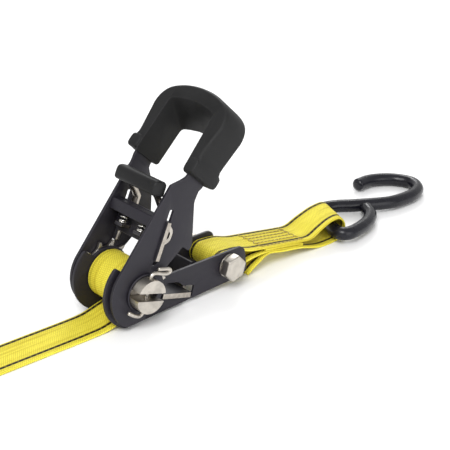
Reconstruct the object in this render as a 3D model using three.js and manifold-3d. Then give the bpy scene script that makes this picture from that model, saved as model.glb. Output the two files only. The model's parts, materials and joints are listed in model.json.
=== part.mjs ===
// Ratchet strap for one-inch webbing, in millimetres, +Z up.
//
// The ratchet is drawn in its own frame: its origin is the spindle's centre, X runs along the base plates
// towards the anchor bolt, and Y is the spindle's axis. The nose of the base is propped up a little, so that
// frame is turned by NOSE_LIFT before it is set on the floor. The webbing and the hooks that lie on the
// floor are drawn in the floor's frame, which has the same origin and a level X axis.

import * as THREE from 'three';
import * as BufferGeometryUtils from 'three/addons/utils/BufferGeometryUtils.js';
import Module from 'manifold-3d';

const wasm = await Module();
wasm.setup();

// ---------------------------------------------------------------- driving dimensions

const CLEAR = 0.3;                 // gap between pieces that touch or slide
const WEB_WIDTH = 25;              // one-inch polyester webbing
const WEB_THICK = 1.4;
const WEB_PLAY = 0.5;              // webbing edge to base plate
const WEB_REST = 0.3;              // webbing that lies on the floor, above it
const NOSE_LIFT = 2.9;             // degrees that the base leans back on its round end

const BASE_THICK = 1.6;
const BASE_LENGTH = 82;            // spindle centre to the nose
const BASE_LOBE = 23;              // cam radius that holds the drive pawl out when the handle is open
const BASE_NECK = 15.2;            // radius where the drive pawl reaches the gears
const BASE_TOP = 0.8;              // height of the arm's upper edge beside the lobe
const BASE_BOTTOM = -21;           // height of the arm's lower edge
const NOSE_DROP = 2.4;             // how far the upper edge falls by the nose

const GEAR_THICK = 2;
const GEAR_TIP = 18.3;
const GEAR_ROOT = 14.6;
const TEETH = 12;
const TOOTH_PHASE = 5;             // degrees, one tooth tip: both pawls then face a gap between teeth

const HANDLE_THICK = 1.8;
const HANDLE_LOBE = 21.3;
const HANDLE_HEEL = 17.7;          // flat under the lobe
const HANDLE_NECK = 15;            // radius of the cam's low part
const HANDLE_ANGLE = 45;           // degrees, direction of the grip
const PLATE_EDGE_ANGLE = 48.3;     // degrees, long rear edge of the handle plate

const SHAFT_RADIUS = 9.75;
const SHAFT_SLOT = 4.6;            // gap between the two half shafts
const SHAFT_TURN = -19;            // degrees, direction of the slot
const SHAFT_PROUD = 8;             // half shaft beyond the handle plate
const WINDING_RADIUS = 14;

const BOLT_INSET = 14;             // bolt to the nose of the base
const BOLT_Z = -9.8;
const BOLT_RADIUS = 4;             // M8
const BOLT_FLATS = 14.2;
const BOLT_HEAD = 5.3;
const WASHER_THICK = 1;
const SLEEVE_WALL = 0.7;

const DRIVE_ANGLE = 64.5;          // degrees, direction in which the drive pawl slides
const DRIVE_SHIFT = -2;            // its plate's distance from the spindle's centre line
const DRIVE_THICK = 2.5;
const DRIVE_SEAT = 2.7;            // travel from tooth crest to tooth root
const DRIVE_LIFT = 4;              // travel when the release lever is pulled
const LOCK_ANGLE = -18;
const LOCK_SHIFT = -4.6;
const LOCK_THICK = 3;
const LOCK_SEAT = 2.7;
const LOCK_LIFT = 3;

const GRIP_LINING = 1.4;           // rubber between a plate's neck and the finger opening
const GRIP_TAPER = 1.8;            // how much narrower, on each side, the opening is at its top
const GRIP_COVER = 5.6;            // rubber outside a plate's neck, at the widest
const GRIP_START = 66.5;           // along the handle, from the spindle
const GRIP_END = 113.6;
const GRIP_FRONT = -4;             // side of the grip towards the nose
const GRIP_REAR = -25;
const GRIP_LEAN = 0.48;            // slope of the opening's top, which rises towards the rear
const JOGGLE = 4;                  // how far each handle plate steps outwards before the grip

const HOOK_WIRE = 4.4;             // radius over the vinyl coat
const HOOK_LIFT = 2.4;             // the small eye rides up on the webbing
const HOOK_LENGTH = 103.5;
const HOOK_SKEW = 0.42;            // how far the eye's bar leans across the webbing, as a slope
const STORED_STRAP = 2450;         // length of webbing wound up for storage
const STORE_PITCH = 1.5;
const STORE_CORE = 7;
const STORE_X = -172;

// ---------------------------------------------------------------- sizes that follow

const BASE_IN = WEB_WIDTH / 2 + WEB_PLAY;
const BASE_OUT = BASE_IN + BASE_THICK;
const GEAR_IN = BASE_OUT + CLEAR;
const GEAR_OUT = GEAR_IN + GEAR_THICK;
const HANDLE_IN = GEAR_OUT + CLEAR;
const HANDLE_OUT = HANDLE_IN + HANDLE_THICK;
const SHAFT_END = HANDLE_OUT + SHAFT_PROUD;
const BORE = SHAFT_RADIUS + CLEAR;
const PAWL_TIP = GEAR_TIP + CLEAR;
const BOLT_X = BASE_LENGTH - BOLT_INSET;
const SLEEVE_RADIUS = BOLT_RADIUS + CLEAR + SLEEVE_WALL;
const NECK_IN = HANDLE_IN + JOGGLE;
const NECK_OUT = HANDLE_OUT + JOGGLE;
const GRIP_INSIDE = NECK_IN - GRIP_LINING;     // half width of the finger opening at its mouth
const GRIP_OUTSIDE = NECK_OUT + GRIP_COVER;
const STORE_RADIUS = Math.sqrt(STORED_STRAP * STORE_PITCH / Math.PI + STORE_CORE ** 2);

const rad = THREE.MathUtils.degToRad;
const polar = (radius, degrees) => [radius * Math.cos(rad(degrees)), radius * Math.sin(rad(degrees))];

// The lowest corner of the base is where its round lobe meets the straight lower edge.
const HEEL_X = -Math.sqrt(BASE_LOBE ** 2 - BASE_BOTTOM ** 2);
const FLOOR = HEEL_X * Math.sin(rad(NOSE_LIFT)) + BASE_BOTTOM * Math.cos(rad(NOSE_LIFT));

// ---------------------------------------------------------------- solids

function toSolid(geometry) {
  let bare = geometry.clone();
  bare.deleteAttribute('normal');
  bare.deleteAttribute('uv');
  bare = BufferGeometryUtils.mergeVertices(bare, 1e-4);
  const count = bare.attributes.position.count;
  const triVerts = bare.index ? Uint32Array.from(bare.index.array) : Uint32Array.from({ length: count }, (_, i) => i);
  return new wasm.Manifold(new wasm.Mesh({
    numProp: 3,
    vertProperties: Float32Array.from(bare.attributes.position.array),
    triVerts,
  }));
}

function toGeometry(solid) {
  const mesh = solid.getMesh();
  const geometry = new THREE.BufferGeometry();
  geometry.setAttribute('position', new THREE.BufferAttribute(Float32Array.from(mesh.vertProperties), 3));
  geometry.setIndex(new THREE.BufferAttribute(Uint32Array.from(mesh.triVerts), 1));
  geometry.computeVertexNormals();
  return geometry;
}

function join(...geometries) {
  return toGeometry(geometries.map(toSolid).reduce((all, next) => all.add(next)));
}

function cut(geometry, ...tools) {
  return toGeometry(tools.map(toSolid).reduce((rest, tool) => rest.subtract(tool), toSolid(geometry)));
}

function meet(geometry, other) {
  return toGeometry(toSolid(geometry).intersect(toSolid(other)));
}

// A shape drawn in X and Z, as thick as the stretch of Y.
function slab(shape, yLow, yHigh, curveSegments = 10) {
  const geometry = new THREE.ExtrudeGeometry(shape, { depth: yHigh - yLow, bevelEnabled: false, curveSegments });
  geometry.rotateX(Math.PI / 2);
  geometry.translate(0, yHigh, 0);
  return geometry;
}

function rod(radius, yLow, yHigh, x = 0, z = 0, sides = 32) {
  const geometry = new THREE.CylinderGeometry(radius, radius, yHigh - yLow, sides);
  geometry.translate(x, (yLow + yHigh) / 2, z);
  return geometry;
}

function ring(inner, outer, yLow, yHigh, x = 0, z = 0, sides = 32) {
  return cut(rod(outer, yLow, yHigh, x, z, sides), rod(inner, yLow - 1, yHigh + 1, x, z, sides));
}

// An outline of [x, z, corner radius] points.
function outline(corners) {
  const shape = new THREE.Shape();
  const at = (i) => new THREE.Vector2(...corners[(i + corners.length) % corners.length]);
  corners.forEach(([, , radius = 0], i) => {
    const here = at(i);
    const before = at(i - 1).sub(here).normalize();
    const after = at(i + 1).sub(here).normalize();
    const entry = here.clone().addScaledVector(before, radius);
    const exit = here.clone().addScaledVector(after, radius);
    if (i === 0) shape.moveTo(entry.x, entry.y);
    else shape.lineTo(entry.x, entry.y);
    if (radius > 0) shape.quadraticCurveTo(here.x, here.y, exit.x, exit.y);
  });
  shape.closePath();
  return shape;
}

// A strip of even thickness along a list of [x, z] points.
function ribbonOutline(points, thickness) {
  const vectors = points.map(([x, z]) => new THREE.Vector2(x, z));
  const side = (sign) => vectors.map((here, i) => {
    const along = vectors[Math.min(i + 1, vectors.length - 1)].clone().sub(vectors[Math.max(i - 1, 0)]).normalize();
    return new THREE.Vector2(here.x - sign * along.y * thickness / 2, here.y + sign * along.x * thickness / 2);
  });
  return new THREE.Shape([...side(1), ...side(-1).reverse()]);
}

function smooth(points, steps) {
  return new THREE.SplineCurve(points.map(([x, z]) => new THREE.Vector2(x, z)))
    .getSpacedPoints(steps).map(({ x, y }) => [x, y]);
}

// A round wire along a list of THREE.Vector3 points.
function wire(points, radius, steps, sides = 10) {
  const circle = new THREE.Shape(Array.from({ length: sides }, (_, i) => {
    const [x, y] = polar(radius, i * 360 / sides);
    return new THREE.Vector2(x, y);
  }));
  const path = new THREE.CatmullRomCurve3(points, false, 'centripetal');
  return new THREE.ExtrudeGeometry(circle, { steps, bevelEnabled: false, extrudePath: path });
}

// A local frame for a pawl: "along" is the way it slides out, "over" is a quarter turn on from it.
function slideFrame(degrees) {
  const along = new THREE.Vector3(Math.cos(rad(degrees)), 0, Math.sin(rad(degrees)));
  const over = new THREE.Vector3(-along.z, 0, along.x);
  const point = (a, b) => [a * along.x + b * over.x, a * along.z + b * over.z];
  // A shape drawn as (y, a), with its thickness from b low to b high.
  const plate = (shape, bLow, bHigh, curveSegments = 6) => {
    const geometry = new THREE.ExtrudeGeometry(shape, { depth: bHigh - bLow, bevelEnabled: false, curveSegments });
    const turn = new THREE.Matrix4().makeBasis(new THREE.Vector3(0, 1, 0), along, over.clone().negate());
    geometry.applyMatrix4(turn.setPosition(over.clone().multiplyScalar(bHigh)));
    return geometry;
  };
  // A shape drawn as (a, b) and as thick as the stretch of Y.
  const profile = (corners, yLow, yHigh) =>
    slab(outline(corners.map(([a, b, r = 0]) => [...point(a, b), r])), yLow, yHigh, 6);
  return { along, over, point, plate, profile };
}

const drive = slideFrame(DRIVE_ANGLE);
const lock = slideFrame(LOCK_ANGLE);
const hand = slideFrame(HANDLE_ANGLE);      // the grip's frame: b is positive towards the rear

// ---------------------------------------------------------------- materials

const finish = (color, roughness, metalness) => new THREE.MeshStandardMaterial({ color, roughness, metalness });
const BLACK_PAINT = () => finish(0x3a383f, 0.45, 0.3);
const RUBBER = () => finish(0x2c2c2e, 0.85, 0);
const ZINC = () => finish(0xd6cfc4, 0.3, 1);
const YELLOW_WEB = () => finish(0xf2e34a, 0.8, 0);
const VINYL = () => finish(0x141418, 0.15, 0);

const model = new THREE.Group();
const floorGroup = new THREE.Group();
const ratchet = new THREE.Group();
ratchet.rotation.y = -rad(NOSE_LIFT);
floorGroup.add(ratchet);
model.add(floorGroup);

function add(parent, name, geometry, material) {
  const mesh = new THREE.Mesh(geometry, material);
  mesh.name = name;
  parent.add(mesh);
  return mesh;
}

// Near is the side of the pawl clips that faces -Y; far is its mirror image.
const SIDES = [['near', -1], ['far', 1]];
const span = (side, inner, outer) => (side < 0 ? [-outer, -inner] : [inner, outer]);

// ---------------------------------------------------------------- base

const LOCK_LOW = LOCK_SHIFT - LOCK_THICK / 2;
const LOCK_HIGH = LOCK_SHIFT + LOCK_THICK / 2;
const LOCK_START = Math.sqrt(PAWL_TIP ** 2 - LOCK_HIGH ** 2);
const LOCK_END = 40.4;

function basePlateShape() {
  const noseX = BASE_LENGTH;
  const noseTop = BASE_TOP - NOSE_DROP;
  const shape = new THREE.Shape();
  shape.moveTo(HEEL_X, BASE_BOTTOM);
  shape.lineTo(noseX - 5, BASE_BOTTOM);
  shape.quadraticCurveTo(noseX + 1, BASE_BOTTOM, noseX + 1, BASE_BOTTOM + 6);
  shape.lineTo(noseX, noseTop - 5);
  shape.quadraticCurveTo(noseX - 0.5, noseTop, noseX - 6, noseTop + 0.3);
  shape.lineTo(BASE_NECK + 6, BASE_TOP);
  shape.quadraticCurveTo(BASE_NECK + 0.5, BASE_TOP, ...polar(BASE_NECK, 18));
  shape.absarc(0, 0, BASE_NECK, rad(18), rad(122), false);
  shape.lineTo(...polar(BASE_LOBE - 1.5, 127));
  shape.quadraticCurveTo(...polar(BASE_LOBE, 128), ...polar(BASE_LOBE, 132));
  shape.absarc(0, 0, BASE_LOBE, rad(132), Math.atan2(BASE_BOTTOM, HEEL_X) + 2 * Math.PI, false);
  shape.closePath();
  return shape;
}

function basePlate(side) {
  const [low, high] = span(side, BASE_IN, BASE_OUT);
  const plate = slab(basePlateShape(), low, high);
  const slot = lock.profile([
    [LOCK_START - LOCK_SEAT - CLEAR, LOCK_LOW - CLEAR, 0.6],
    [LOCK_END + LOCK_LIFT + CLEAR, LOCK_LOW - CLEAR, 0.6],
    [LOCK_END + LOCK_LIFT + CLEAR, LOCK_HIGH + 3.4, 0.8],
    [LOCK_START + 16.5, LOCK_HIGH + 3.4, 0.8],
    [LOCK_START + 12, LOCK_HIGH + 6, 1.5],
    [LOCK_START + 2.5, LOCK_HIGH + 5.6, 1.5],
    [LOCK_START + 0.5, LOCK_HIGH + CLEAR, 0.6],
    [LOCK_START - LOCK_SEAT - CLEAR, LOCK_HIGH + CLEAR, 0.6],
  ], low - 1, high + 1);
  const bore = rod(BORE, low - 1, high + 1, 0, 0, 32);
  const boltHole = rod(BOLT_RADIUS + CLEAR, low - 1, high + 1, BOLT_X, BOLT_Z, 24);
  return cut(plate, bore, boltHole, slot);
}

function hexagon(flats) {
  return new THREE.Shape(Array.from({ length: 6 }, (_, i) => {
    const [x, z] = polar(flats / Math.sqrt(3), 12 + i * 60);
    return new THREE.Vector2(BOLT_X + x, BOLT_Z + z);
  }));
}

const WASHER_IN = BASE_OUT + CLEAR;
const WASHER_OUT = WASHER_IN + WASHER_THICK;
const HEAD_IN = WASHER_OUT + CLEAR;
const HEAD_OUT = HEAD_IN + BOLT_HEAD;
const NUT_OUT = HEAD_IN + 6.5;

function anchorBolt() {
  const head = new THREE.ExtrudeGeometry(hexagon(BOLT_FLATS - 0.9), {
    depth: BOLT_HEAD - 0.5, bevelSize: 0.45, bevelThickness: 0.5, bevelSegments: 1,
  });
  head.rotateX(Math.PI / 2);
  head.translate(0, -HEAD_IN - 0.5, 0);
  const flush = slab(outline([[-99, -99], [199, -99], [199, 99], [-99, 99]]), -HEAD_IN, -HEAD_IN + 5);
  return join(cut(head, flush), rod(BOLT_RADIUS, -HEAD_IN - 1, NUT_OUT + 1.5, BOLT_X, BOLT_Z, 24));
}

function anchorNut() {
  return cut(slab(hexagon(BOLT_FLATS), HEAD_IN, NUT_OUT),
    rod(BOLT_RADIUS + CLEAR, HEAD_IN - 1, NUT_OUT + 1, BOLT_X, BOLT_Z, 24));
}

const LOCK_SEAT_A = 53;
const LOCK_SEAT_B = -1.2;
const LOCK_SEAT_RADIUS = 2.2;

function buildBase() {
  for (const [name, side] of SIDES) {
    add(ratchet, `base_plate_${name}`, basePlate(side), BLACK_PAINT());
    add(ratchet, `anchor_washer_${name}`,
      ring(BOLT_RADIUS + CLEAR, BOLT_FLATS / 2 + 0.2, ...span(side, WASHER_IN, WASHER_OUT), BOLT_X, BOLT_Z), ZINC());
  }
  add(ratchet, 'anchor_bolt', anchorBolt(), ZINC());
  add(ratchet, 'anchor_nut', anchorNut(), ZINC());
  add(ratchet, 'anchor_sleeve',
    ring(BOLT_RADIUS + CLEAR, SLEEVE_RADIUS, -BASE_IN + CLEAR, BASE_IN - CLEAR, BOLT_X, BOLT_Z, 24), ZINC());
  const [barX, barZ] = lock.point(LOCK_SEAT_A, LOCK_SEAT_B);
  add(ratchet, 'lock_spring_bar',
    rod(LOCK_SEAT_RADIUS, -BASE_IN + CLEAR, BASE_IN - CLEAR, barX, barZ, 20), ZINC());
}

// ---------------------------------------------------------------- lock pawl

function lockPawl() {
  const reach = HANDLE_IN - 0.2;
  const plate = lock.plate(outline([
    [-reach, LOCK_START, 0.4], [reach, LOCK_START, 0.4], [reach, LOCK_END, 1], [-reach, LOCK_END, 1],
  ]), LOCK_LOW, LOCK_HIGH);
  const heel = lock.plate(outline([
    [-9, LOCK_END - 3], [9, LOCK_END - 3], [9, LOCK_END + 2.4, 0.8], [-9, LOCK_END + 2.4, 0.8],
  ]), LOCK_LOW, LOCK_HIGH);
  const upright = lock.plate(outline([
    [-9, LOCK_END], [9, LOCK_END], [9, LOCK_END + 2.4], [-9, LOCK_END + 2.4],
  ]), LOCK_HIGH - 1, 4);
  return join(plate, heel, upright);
}

function lockTab() {
  const low = 4 + CLEAR;
  return lock.profile([
    [LOCK_END - 1, low, 0.6], [LOCK_END + 3.4, low, 0.6],
    [LOCK_END + 4.2, low + 8, 1], [LOCK_END + 1.8, low + 8.4, 1],
  ], -9.5, 9.5);
}

// A coil spring with closed ends from start to end.
function coilSpring(start, end, radius, wireRadius, turns) {
  const axis = end.clone().sub(start);
  const length = axis.length() - 2 * wireRadius;
  axis.normalize();
  const side = new THREE.Vector3(0, 1, 0);
  const third = new THREE.Vector3().crossVectors(axis, side);
  const steps = turns * 9;
  const points = Array.from({ length: steps + 1 }, (_, i) => {
    const share = i / steps;
    const angle = share * turns * 2 * Math.PI;
    return start.clone().addScaledVector(axis, wireRadius + share * length)
      .addScaledVector(side, radius * Math.cos(angle)).addScaledVector(third, radius * Math.sin(angle));
  });
  return wire(points, wireRadius, steps, 5);
}

function buildLockPawl() {
  add(ratchet, 'lock_pawl', lockPawl(), ZINC());
  add(ratchet, 'lock_release_tab', lockTab(), BLACK_PAINT());
  const springAt = (a) => {
    const [x, z] = lock.point(a, LOCK_SEAT_B);
    return new THREE.Vector3(x, 0, z);
  };
  add(ratchet, 'lock_spring', coilSpring(springAt(LOCK_END + 2.4 + CLEAR),
    springAt(LOCK_SEAT_A - LOCK_SEAT_RADIUS - CLEAR), 2.4, 0.45, 4), ZINC());
}

// ---------------------------------------------------------------- spindle

function halfMoon(grow) {
  const radius = SHAFT_RADIUS + grow;
  const flat = SHAFT_SLOT / 2 - grow;
  const start = Math.asin(flat / radius);
  const shape = new THREE.Shape();
  shape.absarc(0, 0, radius, start, Math.PI - start, false);
  shape.closePath();
  return shape;
}

// Turns a geometry drawn with the spindle's slot level.
function turned(geometry, extra = 0) {
  return geometry.rotateY(-rad(SHAFT_TURN + extra));
}

function halfShaft(extra) {
  const pinHole = rod(PIN_WIRE + CLEAR + 0.15, -SHAFT_RADIUS - 1, SHAFT_RADIUS + 1, 0, 0, 12)
    .rotateX(Math.PI / 2);
  const body = slab(halfMoon(0), -SHAFT_END, SHAFT_END, 16);
  return turned(cut(body, ...SIDES.map(([, side]) => pinHole.clone().translate(0, side * PIN_Y, 0))), extra);
}

const SHAFT_WASHER_IN = HANDLE_OUT + CLEAR;
const SHAFT_WASHER_OUT = SHAFT_WASHER_IN + WASHER_THICK;
const PIN_WIRE = 1.15;
const PIN_Y = SHAFT_WASHER_OUT + CLEAR + 1.8;

function gear(side) {
  const [low, high] = span(side, GEAR_IN, GEAR_OUT);
  const pitch = 360 / TEETH;
  const shape = new THREE.Shape();
  for (let i = 0; i < TEETH; i += 1) {
    const tip = TOOTH_PHASE + i * pitch;
    const start = i === 0 ? 'moveTo' : 'lineTo';
    shape[start](...polar(GEAR_ROOT, tip - 4));
    shape.lineTo(...polar(GEAR_TIP, tip - 1.5));
    shape.lineTo(...polar(GEAR_TIP, tip + 1.5));
    shape.lineTo(...polar(GEAR_ROOT + 0.6, tip + 9));
  }
  shape.closePath();
  const moon = () => slab(halfMoon(CLEAR), low - 1, high + 1, 16);
  return cut(slab(shape, low, high), turned(moon()), turned(moon(), 180));
}

// The webbing wound on the spindle, with the layers that pass between the half shafts.
function winding() {
  const half = WEB_WIDTH / 2;
  const moon = () => slab(halfMoon(CLEAR), -half - 1, half + 1, 16);
  return cut(rod(WINDING_RADIUS, -half, half, 0, 0, 40), turned(moon()), turned(moon(), 180));
}

function cotter(side) {
  const y = side * PIN_Y;
  const top = SHAFT_RADIUS + PIN_WIRE;
  const at = (x, z, dy = 0) => new THREE.Vector3(x, y + dy, z);
  const eye = wire([
    at(0, -2), at(0, top - 3), at(0, top), at(1.2, top + 2), at(5, top + 2.2), at(10.6, top + 1.2),
    at(13.2, top + 2.6), at(12.2, top + 4.6), at(8.5, top + 5.4), at(4.6, top + 5.2),
  ], PIN_WIRE, 26, 7);
  const leg = wire([
    at(0, 2), at(0, -top + 3), at(0, -top), at(-1.6, -top - 1.6), at(-5, -top - 1.4), at(-10, -top + 0.4),
  ], PIN_WIRE, 18, 7);
  return turned(join(eye, leg));
}

function buildSpindle() {
  add(ratchet, 'half_shaft_upper', halfShaft(0), ZINC());
  add(ratchet, 'half_shaft_lower', halfShaft(180), ZINC());
  add(ratchet, 'strap_winding', winding(), YELLOW_WEB());
  for (const [name, side] of SIDES) {
    add(ratchet, `ratchet_gear_${name}`, gear(side), ZINC());
    add(ratchet, `spindle_washer_${name}`,
      ring(BORE, BORE + 1.1, ...span(side, SHAFT_WASHER_IN, SHAFT_WASHER_OUT), 0, 0, 32), BLACK_PAINT());
    add(ratchet, `cotter_pin_${name}`, cotter(side), ZINC());
  }
}

// ---------------------------------------------------------------- handle

const EAR_OUT = HANDLE_OUT + 1.4;
const DRIVE_LOW = DRIVE_SHIFT - DRIVE_THICK / 2;
const DRIVE_HIGH = DRIVE_SHIFT + DRIVE_THICK / 2;
const DRIVE_START = Math.sqrt(PAWL_TIP ** 2 - DRIVE_HIGH ** 2);
const DRIVE_END = 41.5;
const PLATE_REAR = GRIP_REAR + 3.2;     // the plate's neck inside the rubber
const PLATE_FRONT = GRIP_FRONT - 3.4;
const PLATE_END = GRIP_END - 8.7;

function handlePlateShape() {
  const at = (a, t) => hand.point(a, -t);
  const edge = (r, degrees) => polar(r, degrees);
  const rear = PLATE_EDGE_ANGLE + 90;
  const [tangentX, tangentZ] = polar(HANDLE_LOBE, rear);
  const [edgeX, edgeZ] = polar(57.5, PLATE_EDGE_ANGLE);
  const shape = new THREE.Shape();
  const heelX = -Math.sqrt(HANDLE_LOBE ** 2 - HANDLE_HEEL ** 2);
  shape.moveTo(heelX, -HANDLE_HEEL);
  shape.lineTo(1.4, -HANDLE_HEEL);
  shape.quadraticCurveTo(1.2, -HANDLE_NECK - 0.5, ...edge(HANDLE_NECK, -82));
  shape.absarc(0, 0, HANDLE_NECK, rad(-82), rad(22), false);
  shape.lineTo(...edge(19, 28));
  shape.lineTo(...edge(34.4, 30.6));
  shape.lineTo(...edge(36.2, 22.6));
  shape.quadraticCurveTo(...edge(38, 21.6), ...edge(40, 24.5));
  shape.lineTo(38.6, 43);
  shape.quadraticCurveTo(39, 49, ...at(GRIP_START - 3.5, PLATE_FRONT));
  shape.lineTo(...at(PLATE_END - 3, PLATE_FRONT));
  shape.quadraticCurveTo(...at(PLATE_END, PLATE_FRONT), ...at(PLATE_END, PLATE_FRONT - 3));
  shape.lineTo(...at(PLATE_END, PLATE_REAR + 3));
  shape.quadraticCurveTo(...at(PLATE_END, PLATE_REAR), ...at(PLATE_END - 3, PLATE_REAR));
  shape.lineTo(...at(GRIP_START - 0.5, PLATE_REAR));
  shape.quadraticCurveTo(...at(GRIP_START - 5, PLATE_REAR), tangentX + edgeX, tangentZ + edgeZ);
  shape.lineTo(tangentX, tangentZ);
  shape.absarc(0, 0, HANDLE_LOBE, rad(rear), Math.atan2(-HANDLE_HEEL, heelX) + 2 * Math.PI, false);
  return shape;
}

function handlePlate(side) {
  const [low, high] = span(side, HANDLE_IN, HANDLE_OUT);
  const slot = drive.profile([
    [DRIVE_START - DRIVE_SEAT - CLEAR, DRIVE_LOW - CLEAR, 0.8],
    [DRIVE_END + DRIVE_LIFT + 2.6, DRIVE_LOW - CLEAR, 0.8],
    [DRIVE_END + DRIVE_LIFT + 2.6, DRIVE_HIGH + CLEAR, 0.8],
    [DRIVE_START - DRIVE_SEAT - CLEAR, DRIVE_HIGH + CLEAR, 0.8],
  ], low - 1, high + 1);
  // Seen from the front, the sheet is straight, steps outwards below the grip, and is straight again.
  const step = side * JOGGLE;
  const [start, end] = [GRIP_START - 9.5, GRIP_START - 2];
  const sheet = hand.plate(outline([
    [low, -99], [high, -99], [high, start, 1.5], [high + step, end, 1.5],
    [high + step, 199], [low + step, 199], [low + step, end, 1.5], [low, start, 1.5],
  ]), -99, 99);
  const reach = span(side, HANDLE_IN - 1, NECK_OUT + 1);
  return cut(meet(slab(handlePlateShape(), ...reach), sheet), rod(BORE, low - 1, high + 1, 0, 0, 32), slot);
}

const BAR_A = GRIP_END - 11.2;
const BAR_B = 10.5;
const BAR_RADIUS = 3;

function handleBar() {
  const [x, z] = hand.point(BAR_A, BAR_B);
  return rod(BAR_RADIUS, -NECK_IN + CLEAR, NECK_IN - CLEAR, x, z, 20);
}

// Half of the grip's outline: a collar, a slight waist, and a crown that falls away to the shoulders.
const GRIP_EDGE = [
  [GRIP_OUTSIDE - 4.6, GRIP_START], [GRIP_OUTSIDE - 1.4, GRIP_START + 1.4], [GRIP_OUTSIDE - 0.2, GRIP_START + 4.6],
  [GRIP_OUTSIDE - 1, GRIP_START + 8], [GRIP_OUTSIDE - 2, GRIP_START + 11], [GRIP_OUTSIDE - 1.4, GRIP_START + 18],
  [GRIP_OUTSIDE - 0.5, GRIP_START + 26], [GRIP_OUTSIDE, GRIP_END - 17], [GRIP_OUTSIDE - 1, GRIP_END - 11.5],
  [GRIP_OUTSIDE - 4, GRIP_END - 6.8], [GRIP_OUTSIDE - 8.8, GRIP_END - 3.8], [13, GRIP_END - 1.5],
  [6, GRIP_END - 0.3], [0, GRIP_END],
];

function gripBody() {
  const half = smooth(GRIP_EDGE, 26);
  const mirrored = half.slice(0, -1).reverse().map(([y, a]) => [-y, a]);
  const bevel = 2.2;
  const body = new THREE.ExtrudeGeometry(
    new THREE.Shape([...half, ...mirrored].map(([y, a]) => new THREE.Vector2(y, a))),
    { depth: GRIP_FRONT - GRIP_REAR - 2 * bevel, bevelSize: bevel, bevelOffset: -bevel, bevelThickness: bevel,
      bevelSegments: 3, curveSegments: 1 },
  );
  return body.translate(0, 0, GRIP_REAR + bevel);
}

// The finger opening: narrower and arched at the top, which leans back, so the bar is thinner at the rear.
function gripOpening() {
  const depth = GRIP_FRONT - GRIP_REAR + 16;
  const top = GRIP_INSIDE - GRIP_TAPER;
  const crown = GRIP_END - 19.2;
  const opening = new THREE.ExtrudeGeometry(outline([
    [-GRIP_INSIDE, GRIP_START - 12], [GRIP_INSIDE, GRIP_START - 12], [top, crown - 2.4, 2.4],
    [top - 6, crown - 1], [5, crown], [-5, crown], [-top + 6, crown - 1], [-top, crown - 2.4, 2.4],
  ]), { depth, bevelEnabled: false, curveSegments: 4 });
  opening.translate(0, 0, GRIP_REAR - 8);
  const rise = GRIP_LEAN * GRIP_FRONT;
  return opening.applyMatrix4(new THREE.Matrix4().set(1, 0, 0, 0, 0, 1, -GRIP_LEAN, rise, 0, 0, 1, 0, 0, 0, 0, 1));
}

// A rounded collar round each neck, a little proud of the grip's faces.
function gripCollar(side) {
  const [low, high] = span(side, GRIP_INSIDE, GRIP_OUTSIDE - 0.6);
  const proud = 1.2;
  const bevel = 1.4;
  const geometry = new THREE.ExtrudeGeometry(outline([
    [low, GRIP_START + 0.4, 2.6], [high, GRIP_START + 0.4, 2.6], [high, GRIP_START + 9, 3.4], [low, GRIP_START + 9, 3.4],
  ]), {
    depth: GRIP_FRONT - GRIP_REAR + 2 * proud - 2 * bevel, bevelSize: bevel, bevelOffset: -bevel,
    bevelThickness: bevel, bevelSegments: 2, curveSegments: 3,
  });
  return geometry.translate(0, 0, GRIP_REAR - proud + bevel);
}

// The rubber grip: a D with an open middle, moulded over the necks of both plates and the bar between them.
function grip() {
  const place = new THREE.Matrix4().makeBasis(
    new THREE.Vector3(0, 1, 0), hand.along, hand.over.clone().negate());
  const rubber = cut(gripBody(), gripOpening()).applyMatrix4(place);
  const collars = SIDES.map(([, side]) => gripCollar(side).applyMatrix4(place));
  const pocket = (side) => {
    const [low, high] = span(side, NECK_IN - CLEAR, NECK_OUT + CLEAR);
    return hand.profile([
      [GRIP_START - 12, -PLATE_FRONT - CLEAR], [PLATE_END + CLEAR, -PLATE_FRONT - CLEAR, 1],
      [PLATE_END + CLEAR, -PLATE_REAR + CLEAR, 1], [GRIP_START - 12, -PLATE_REAR + CLEAR],
    ], low, high);
  };
  const [barX, barZ] = hand.point(BAR_A, BAR_B);
  const barRoom = rod(BAR_RADIUS + CLEAR, -NECK_IN, NECK_IN, barX, barZ, 20);
  return cut(join(rubber, ...collars), ...SIDES.map(([, side]) => pocket(side)), barRoom);
}

const GUIDE_LOW = DRIVE_HIGH + CLEAR + 0.2;
const GUIDE_THICK = 1.6;
const LUG_TOP = GUIDE_LOW + GUIDE_THICK + 6.2;
const LUG_A = 29;
const LUG_HALF = 3;
const LUG_Y = 8;
const GUIDE_FLANGE_A = 41;
const GUIDE_LIP = 6.4;

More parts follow.
